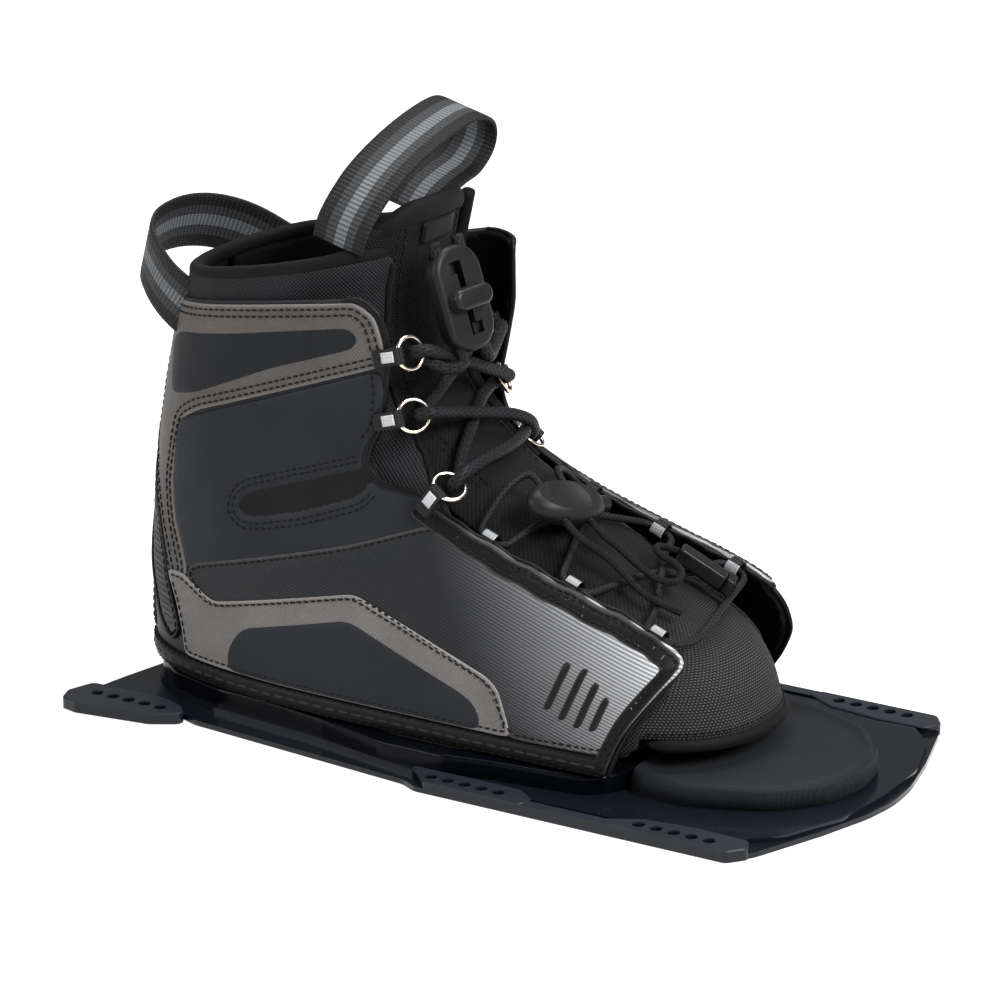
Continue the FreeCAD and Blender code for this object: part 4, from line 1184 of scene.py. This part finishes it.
def tongue_grid(z_low, z_high, columns, step):
    """Rows evenly spaced along the middle line, each spread over the tongue's width."""
    z = np.linspace(z_low, z_high, 800)
    middle = tongue_point(np.zeros_like(z), z)
    along = np.concatenate([[0], np.cumsum(np.linalg.norm(np.diff(middle, axis=0), axis=1))])
    count = int(along[-1] / step)
    levels = np.interp(np.linspace(0, along[-1], count), along, z)
    q = np.linspace(-1, 1, columns)
    grid, cloth = [], []
    for i, level in enumerate(levels):
        width = np.where(q < 0, tongue_width(level, -1), tongue_width(level, 1))
        bent = np.sin(q * math.pi / 2) * 0.35 + q * 0.65
        row = tongue_point(bent * width, np.full(columns, level))
        grid.append(row)
        side_run = np.concatenate([[0], np.cumsum(np.linalg.norm(np.diff(row, axis=0), axis=1))])
        cloth.append(np.stack([side_run - side_run[columns // 2], np.full(columns, i * step)], -1))
    grid, cloth = np.array(grid), np.array(cloth)
    across, upward = np.gradient(grid, axis=1), np.gradient(grid, axis=0)
    normal = np.cross(across, upward)
    normal /= np.maximum(np.linalg.norm(normal, axis=-1, keepdims=True), 1e-9)
    return grid, cloth, normal, levels, q


def grid_faces(rows, columns):
    """Quads of a sheet of points."""
    return [(i * columns + k, i * columns + k + 1, (i + 1) * columns + k + 1, (i + 1) * columns + k)
            for i in range(rows - 1) for k in range(columns - 1)]


def tongue(sewing):
    """The quilted tongue with its toe vamp and two stitched seams."""
    grid, cloth, normal, levels, q = tongue_grid(25.0, 212.0, 61, 2.2)
    z = levels[:, None]
    y = grid[..., 1]
    lift = 0.5 * (1 - q[None, :] ** 2) * np.clip((z - 80) / 40, 0, 1) - 0.9
    seam = np.clip((z - 100) / 20, 0, 1)
    for line in (-21.0, 18.0):
        lift = lift - 0.7 * seam * np.exp(-((y - line) / 1.1) ** 2)
    shape = grid + normal * lift[..., None]
    rows, columns = shape.shape[:2]
    made = piece("tongue", shape.reshape(-1, 3), grid_faces(rows, columns), "knit",
                 cloth=cloth.reshape(-1, 2), thick=3.6, inner="neoprene", stands_for=["tongue"])
    for line in (-22.6, -19.4, 16.4, 19.6):
        picks = [i for i in range(rows) if levels[i] > 108]
        path = np.array([[np.interp(line, y[i], shape[i, :, k]) for k in range(3)] for i in picks])
        side = np.array([[np.interp(line, y[i], normal[i, :, k]) for k in range(3)] for i in picks])
        sewing.along(path + side * 0.1, side)


def tongue_top():
    """The smooth padded end of the tongue: a closed cushion along its top edge."""
    columns, sides = 41, 14
    q = np.linspace(-1, 1, columns)
    verts, cloth = [], []
    for share in q:
        width = 33.5 if share < 0 else 31.0
        y = share * width
        top = 221.2 - 9.5 * max(0.0, abs(share) - 0.45) ** 1.5 * 2.2
        low = top - 12.0 * (1 - 0.35 * share * share)
        middle = (top + low) / 2
        half = (top - low) / 2
        centre = tongue_point(np.array(y), np.array(middle))
        ahead = tongue_point(np.array(y), np.array(middle + 1.0)) - centre
        ahead /= np.linalg.norm(ahead)
        beside = tongue_point(np.array(y + 0.5), np.array(middle)) - centre
        out = np.cross(beside / np.linalg.norm(beside), ahead)
        taper = min(1.0, 0.25 + 4.0 * (1 - abs(share)))
        for s in range(sides):
            a = 2 * math.pi * s / sides
            c, v = math.cos(a), math.sin(a)
            verts.append(centre - out * 3.0 + out * 3.7 * taper * math.copysign(abs(c) ** 0.8, c)
                         + ahead * half * math.copysign(abs(v) ** 0.8, v))
            cloth.append((y, s * 1.5))
    faces = tube_faces(columns, sides, turned_in=True)
    made = piece("tongue_top", verts, faces, "neoprene", cloth=cloth)
    made.modifiers.new("round", "SUBSURF").levels = 1


def tongue_edge():
    """The thick bound edge of the tongue on the medial side."""
    z = np.linspace(118.0, 215.0, 60)
    y = 31.5 - 3.0 * np.clip((z - 200.0) / 15.0, 0, 1)
    path = tongue_point(y, z) + np.array([1.2, 1.0, 0.0])
    made = cord_mesh("tongue_edge", path, 2.9, "neoprene", sides=12)


def roll(name, path, out_size, up_size, material, **kwargs):
    """A band of oval section along a nearly level path."""
    tangent = np.gradient(path, axis=0)
    tangent /= np.linalg.norm(tangent, axis=1, keepdims=True)
    up = np.array([0, 0, 1.0])
    side = np.cross(tangent, up)
    side /= np.linalg.norm(side, axis=1, keepdims=True)
    rise = np.cross(side, tangent)
    sides = 14
    verts, cloth = [], []
    for i, p in enumerate(path):
        end = min(i, len(path) - 1 - i)
        size = min(1.0, 0.4 + 0.2 * end)
        for k in range(sides):
            a = 2 * math.pi * k / sides
            verts.append(p + side[i] * out_size * size * math.cos(a)
                         + rise[i] * up_size * size * math.sin(a))
            cloth.append((i * 2.0, k))
    faces = tube_faces(len(path), sides)
    return piece(name, verts, faces, material, cloth=cloth, **kwargs)


def toe_binding(sewing):
    """The bound edge over the open toe."""
    turns = np.radians(np.linspace(-56, 56, 70))
    ring = wall_point(turns, 22.0, 2.2, True)
    ring = ring[ring[:, 0] > 84.5]
    roll("toe_binding", walk(ring, False, 2.0), 3.3, 3.0, "neoprene", stands_for=["toe_binding"])
    ring = wall_point(turns, 27.2, 0.3, True)
    ring = ring[ring[:, 0] > 84.5]
    out = ring - np.array([0, 0, ring[0, 2]])
    sewing.along(ring, out / np.linalg.norm(out, axis=1, keepdims=True), 2.2, 0.9)


def label():
    """The blank woven label on the tongue."""
    columns, rows = 9, 7
    verts, cloth = [], []
    for j in range(rows):
        for k in range(columns):
            y, z = -12 + 22 * k / (columns - 1), 203 + 8.5 * j / (rows - 1)
            centre = tongue_point(np.array(y), np.array(z))
            verts.append(centre + np.array([1.15, 0, 0.1]))
            cloth.append((y, z))
    piece("tongue_label", verts, grid_faces(rows, columns), "thread", cloth=cloth, thick=1.0,
          stands_for=["tongue_label"])


def insole():
    """The footbed inside the bootie."""
    turns = np.linspace(0, 2 * math.pi, 160, endpoint=False)
    ring = wall_point(turns, 16.0, LINER_THICK + 0.6, True)[:, :2]
    ring = ring[ring[:, 0] < 80]
    made = flat_piece("insole", walk(ring, True, 3.0), [(0, 15.0), (1.5, 18.0), (4, 18.3), (20, 18.0)],
                      "foam", base=14.7, stands_for=["insole"])


def flat_piece(name, ring, section, material, base, **kwargs):
    """A pad on the level: its height depends on the distance in from its outline."""
    rings = [d for d, _ in section[1:] if d < 16]
    flat, faces = fill(ring, rings, 3.0)
    d = distance_to(flat, ring)
    height = np.interp(d, [s[0] for s in section], [s[1] for s in section])
    verts = np.column_stack([flat, height])
    faces = outward(verts, faces, np.tile((0.0, 0.0, 1.0), (len(verts), 1)))
    count = len(ring)
    verts = np.vstack([verts, np.column_stack([flat[:count], np.full(count, base)])])
    first = len(flat)
    area = np.sum(ring[:, 0] * np.roll(ring[:, 1], -1) - np.roll(ring[:, 0], -1) * ring[:, 1])
    for k in range(count):
        n = (k + 1) % count
        wall = (k, first + k, first + n, n)
        faces.append(wall if area > 0 else wall[::-1])
    bottom = tuple(first + k for k in range(count))
    faces.append(bottom[::-1] if area > 0 else bottom)
    return piece(name, verts, faces, material, cloth=np.vstack([flat, flat[:count]]), **kwargs)


def toe_pad():
    """The soft footbed end in front of the boot, with a raised rim."""
    half = [(81, 0), (81, 52), (108, 55), (140, 42), (157, 22), (161, 0)]
    ring = walk(half + [(x, -y) for x, y in half[::-1] if y > 0], True, 1.6)
    ring = soften(ring, True, 5.0, 1.6)
    section = [(0, 9.0), (0.4, 11.6), (1.2, 13.2), (2.4, 13.9), (3.6, 13.7), (4.8, 12.9), (6.2, 12.2),
               (8.5, 11.9), (13, 11.8), (16, 11.9), (40, 12.4)]
    made = flat_piece("toe_pad", ring, section, "foam", base=DECK_TOP + 0.1, stands_for=["toe_pad"])


# ------------------------------------------------------------------ pull loops
def ribbon(name, path, across, width, thick, material, body, stands_for=(), map_width=None):
    """A webbing strap: a path, thickened, with soft selvedges."""
    path = np.asarray(path, float)
    tangent = np.gradient(path, axis=0)
    tangent /= np.linalg.norm(tangent, axis=1, keepdims=True)
    across = np.broadcast_to(np.asarray(across, float), path.shape)
    across = across - tangent * np.sum(across * tangent, axis=1, keepdims=True)
    across = across / np.linalg.norm(across, axis=1, keepdims=True)
    out = np.cross(tangent, across)
    run = np.concatenate([[0], np.cumsum(np.linalg.norm(np.diff(path, axis=0), axis=1))])
    shares = [-0.5, -0.47, -0.4, -0.25, -0.1, 0.1, 0.25, 0.4, 0.47, 0.5]
    section = [(s, 0.5 * thick * min(1.0, ((0.5 - abs(s)) / 0.04) ** 0.5)) for s in shares]
    loop = section + [(s, -h) for s, h in section[::-1][1:-1]]
    verts, cloth = [], []
    for i, p in enumerate(path):
        for s, h in loop:
            verts.append(p + across[i] * s * width + out[i] * h)
            cloth.append((run[i], (s + 0.5) * (map_width or width)))
    faces = tube_faces(len(path), len(loop), turned_in=True)
    return piece(name, verts, faces, material, body=body, cloth=cloth, stands_for=stands_for)


def spline(points, step):
    """A smooth curve through points, in even steps."""
    points = np.asarray(points, float)
    padded = np.vstack([2 * points[0] - points[1], points, 2 * points[-1] - points[-2]])
    out = []
    for i in range(1, len(padded) - 2):
        p0, p1, p2, p3 = padded[i - 1:i + 3]
        for t in np.linspace(0, 1, 12, endpoint=False):
            out.append(0.5 * (2 * p1 + (p2 - p0) * t + (2 * p0 - 5 * p1 + 4 * p2 - p3) * t ** 2
                              + (3 * p1 - p0 - 3 * p2 + p3) * t ** 3))
    out.append(points[-1])
    return walk(np.array(out), False, step)


def turned(points, pivot, degrees):
    """Rotate about the Y axis through a pivot (x, z)."""
    a = math.radians(degrees)
    x, z = points[:, 0] - pivot[0], points[:, 2] - pivot[1]
    return np.stack([pivot[0] + x * math.cos(a) + z * math.sin(a), points[:, 1],
                     pivot[1] - x * math.sin(a) + z * math.cos(a)], -1)


def pull_loops():
    """The two webbing loops, each on its own body."""
    legs = [(-134, -35.6, 163), (-143, -37, 169), (-151, -36, 174), (-159.5, -32, 179.5),
            (-167.5, -25, 184), (-173, -14, 186.5), (-175, -2, 187.5), (-174, 10, 187.5),
            (-170, 21, 186), (-163, 29.5, 183), (-154, 35.5, 178.5), (-143, 38.5, 173),
            (-131, 41, 166.5), (-122, 42, 161)]
    up = turned(np.array([[0.0, 0.0, 1.0]]), (0, 0), 14.0)[0]
    ribbon("heel_pull_loop", spline(legs, 1.5), up, WEB_WIDTH, WEB_THICK, "web", "heel_loop",
           ["heel_pull_loop"])
    arch = [(-38, 205), (-36, 216), (-24, 230), (-6, 240), (16, 247), (35, 249), (48, 243), (51, 232),
            (44, 223), (33, 220), (22, 216), (14, 208)]
    path = spline([(-76.0 + WEB_WIDTH / 2, y, z) for y, z in arch], 1.5)
    path = turned(path, (-63.0, 205.0), 14.0)
    across = turned(np.array([[1.0, 0.0, 0.0]]), (0, 0), 14.0)[0]
    ribbon("front_pull_loop", path, across, WEB_WIDTH, WEB_THICK, "web", "front_loop",
           ["front_pull_loop"])


# ------------------------------------------------------------------ lacing
RINGS = {
    (-1, 1): ((-27.3, -41, 166.5), (0.93, -0.25, 0.27), (-0.35, -0.93, 0)),
    (-1, 2): ((-26.5, -40, 140), (0.77, -0.56, 0.3), (-0.35, -0.9, 0)),
    (-1, 3): ((-7.5, -43, 114), (0.5, -0.3, 0.8), (-0.2, -0.95, -0.1)),
    (1, 1): ((-34.5, 33.5, 158.5), (0.85, 0.42, 0.3), (-0.2, 0.95, 0)),
    (1, 2): ((-30.5, 34.5, 136), (0.8, 0.4, 0.45), (-0.2, 0.95, 0)),
    (1, 3): ((-21.6, 42, 110.6), (0.6, 0.25, 0.76), (-0.2, 0.95, 0)),
}
UPPER_LACE = [
    (-30.8, -18, 206.5), (-15.7, -18, 157), (-20, -27, 157), (-30.8, -33.9, 165),
    (-27.7, -39.8, 166.5), (-21.9, -36.3, 167.6), (-24.2, 30.9, 138.8), (-30, 33.4, 136.1),
    (-31.9, 27, 134.5), (-27, 12, 134), (-20, -6, 129), (-14, -23, 121),
    (-8.3, -35.8, 111.3), (-7.2, -41.9, 114.2), (-3.5, -38.7, 119), (-4, -22, 120.5),
    (-6, -2, 119), (-11, 18, 118), (-16, 29.5, 118), (-21.8, 35, 108.6), (-21.3, 40.9, 110.7),
    (-17, 37.4, 114.8), (-13, 28.5, 122), (-14, 16, 128), (-17, -2, 132.5), (-20, -20, 137.5),
    (-19.3, -37.7, 141.9), (-25.8, -39, 140.1), (-26.7, -32.3, 139), (-36, 26, 157.5),
    (-34, 32.4, 158.6), (-27.8, 30, 160.4), (-20, 10, 156), (-12.5, -5.8, 157),
    (-27.8, -5.8, 207.5),
]
LOWER_TABS = {
    (-1, 1): (9, -38.5, 92.5), (-1, 2): (49, -39.5, 80.5), (-1, 3): (89, -40.5, 67.5),
    (1, 1): (12, 35.5, 92.5), (1, 2): (45, 36, 82), (1, 3): (80, 36.5, 72),
}
LOWER_LACE = [
    (36.6, -24.8, 101.8), (11.7, -12.7, 116.1), (7, -25, 110), (3, -38.5, 94.7),
    (15, -38.5, 90.4), (21, -19, 97.5), (27, -2, 97.5), (33.5, 15, 92), (39, 36, 84.2),
    (51, 36, 79.8), (59, 15, 80.5), (68.3, -2.5, 80.9), (76, -20, 69.5), (83, -40.5, 69.7),
    (95, -40.5, 65.3), (95, -20, 60.5), (93, 0, 65.5), (87.5, 16, 64.5), (86, 36.5, 69.8),
    (74, 36.5, 74.2), (69.5, 15, 73.5), (65.5, -2, 79.7), (59, -19, 78.5), (55, -39.5, 78.3),
    (43, -39.5, 82.7), (37, -19, 90.5), (30.5, -2, 94.8), (24, 15, 99), (18, 35.5, 90.3),
    (6, 35.5, 94.7), (8, 20, 107), (16.1, -0.7, 113.7), (41, -12.8, 99.4),
]
TAIL_FRONT = [
    (37.1, -25, 101.5), (43.5, -27.2, 97.5), (50, -23, 92), (56.5, -20, 86.5),
    (64.8, -21.8, 81), (72.7, -22.1, 76.1), (79.7, -18.7, 72.1), (85.7, -16.2, 69.6),
]
TAIL_REAR = [
    (41.5, -12.9, 99.1), (47, -14.5, 95.5), (52.5, -12, 91), (58, -11.5, 87), (65.2, -13.6, 84.2),
    (72.8, -14.8, 81.3), (78.6, -10.5, 79), (78.2, -2, 80.3), (72, 2.5, 82.6), (66.5, 0, 85.6),
    (61.5, 3, 87), (60.5, 9.5, 86.5), (66, 14, 83.5),
]


LACE_PATCH_ARC = {LATERAL: (98, 138), MEDIAL: (-5, 50)}


def unit(v):
    """The vector at length 1."""
    v = np.asarray(v, float)
    return v / np.linalg.norm(v)


def rings(side):
    """Three wire rings and their tabs."""
    for index in (1, 2, 3):
        centre, out, back = [np.array(v, float) for v in RINGS[(side, index)]]
        out = unit(out)
        back = unit(back - out * np.dot(back, out))
        across = np.cross(out, back)
        turns = np.linspace(0, 2 * math.pi, 48, endpoint=False)
        path = centre + RING_R * (np.cos(turns)[:, None] * back + np.sin(turns)[:, None] * across)
        name = "%s_ring_%d" % (WORD[side], index)
        cord_mesh(name, path, RING_WIRE_R, "ring", sides=14, closed=True,
                  stands_for=["%s_rings" % WORD[side]])
        ring_tab(side, index, centre, back, across)


def ring_tab(side, index, centre, back, across):
    """Webbing folded round the ring, with a light patch on its outer face."""
    eye = centre + back * RING_R
    rear = np.array([-0.95, side * 0.1, -0.1 if index < 3 else -0.3])
    rear = unit(rear - across * np.dot(rear, across))
    top = np.cross(across, rear)
    if np.dot(top, (0.4, side, 0.3)) < 0:
        top = -top
    anchor = eye + rear * 11.0
    path = [anchor + top * 0.3, eye + rear * 5 + top * 1.5, eye + rear * 1.0 + top * 2.0,
            eye - rear * 1.7 + top * 1.1, eye - rear * 1.9 - top * 0.8, eye - rear * 0.4 - top * 1.9,
            eye + rear * 4 - top * 1.6, anchor - top * 1.0]
    smooth = spline(path, 0.7)
    ribbon("%s_ring_tab_%d" % (WORD[side], index), smooth, across, 7.2, 0.9, "tab", "boot",
           ["%s_ring_tabs" % WORD[side]])
    patch = [eye + rear * 6.5 + top * 2.0, eye + rear * 3.5 + top * 2.35, eye + rear * 0.6 + top * 2.55]
    ribbon("%s_ring_patch_%d" % (WORD[side], index), spline(patch, 0.7), across, 4.4, 0.4, "patch",
           "boot")


def lace_tabs(side):
    """Webbing loops under the flaps' edges, each with a light patch."""
    along = unit((0.94, 0, -0.34))
    for index in (1, 2, 3):
        centre = np.array(LOWER_TABS[(side, index)], float)
        out = unit(np.cross(along, (0, 1, 0)) * 1.0)
        if out[2] < 0:
            out = -out
        aside = np.array([0, float(side), 0])
        turns = np.radians(np.linspace(-70, 250, 30))
        ring = [centre + 3.9 * (math.cos(t) * -aside + math.sin(t) * out) for t in turns]
        ribbon("%s_lace_tab_%d" % (WORD[side], index), np.array(ring), along, 5.6, 0.9, "tab", "boot",
               ["%s_lace_tabs" % WORD[side]])
        turns = np.radians(np.linspace(*LACE_PATCH_ARC[side], 8))
        arc = [centre + 4.6 * (math.cos(t) * -aside + math.sin(t) * out) for t in turns]
        ribbon("%s_lace_patch_%d" % (WORD[side], index), np.array(arc), along, 6.0, 0.4, "dim_patch",
               "boot")


def braid(strands, pitch, depth):
    def shape(run, angle):
        a = np.sin(strands * angle + 2 * math.pi * run / pitch)
        b = np.sin(strands * angle - 2 * math.pi * run / pitch)
        return 1 - depth + depth * np.maximum(a, b)
    return shape


def free_tail(name, points):
    """A loose cord end: the same route as the solid part's."""
    curve = bpy.data.curves.new(name, "CURVE")
    curve.dimensions = "3D"
    line = curve.splines.new("NURBS")
    line.points.add(len(points) - 1)
    for knot, place in zip(line.points, points):
        knot.co = (place[0] * MM, place[1] * MM, place[2] * MM, 1.0)
    line.order_u = 3
    line.use_endpoint_u = True
    line.resolution_u = 8
    curve.bevel_depth = LOWER_LACE_R * MM
    curve.bevel_resolution = 4
    curve.use_fill_caps = True
    curve.materials.append(MATERIALS["tail"])
    made = bpy.data.objects.new(name, curve)
    bpy.context.scene.collection.objects.link(made)
    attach(made, "boot")
    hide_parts(name)
    return made


def laces():
    """Both laces and their loose ends."""
    cord_mesh("upper_lace", arc_route(UPPER_LACE), UPPER_LACE_R, "lace", sides=20,
              bulge=braid(8, 4.0, 0.012), stands_for=["upper_lace"])
    cord_mesh("lower_lace", arc_route(LOWER_LACE), LOWER_LACE_R, "cord", sides=12,
              bulge=braid(4, 2.6, 0.05), stands_for=["lower_lace"])
    free_tail("lace_tail_front", TAIL_FRONT)
    free_tail("lace_tail_rear", TAIL_REAR)


# ------------------------------------------------------------------ assembly
def carried_over(cad):
    """Hard parts keep their solid models and get a finish."""
    finish = {"base_plate": "plate", "sole_frame": "frame", "frame_screws": "steel",
              "sole_board": "board", "upper_lock_body": "lock", "upper_lock_knob": "knob",
              "lower_lock_body": "lock", "lower_lock_button": "knob", "lace_handle": "handle",
              "handle_cap": "handle"}
    for name, material in finish.items():
        mesh = cad[name].data
        mesh.materials.clear()
        mesh.materials.append(MATERIALS[material])


def build():
    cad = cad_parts
    for made in (film_materials(), cloth_materials(), hard_materials()):
        MATERIALS.update(made)
    camera()
    studio()
    carried_over(cad)
    sewing = Stitching()
    for side in (LATERAL, MEDIAL):
        upper_half(side)
        panels(side, sewing)
        heel_strips(side, sewing)
        edge_trim(side, sewing)
        welt(side, sewing)
        liner(side)
        rings(side)
        lace_tabs(side)
    heel_counter(sewing)
    collar()
    tongue(sewing)
    tongue_top()
    tongue_edge()
    toe_binding(sewing)
    label()
    insole()
    toe_pad()
    pull_loops()
    laces()
    sewing.make("stitches")


build()
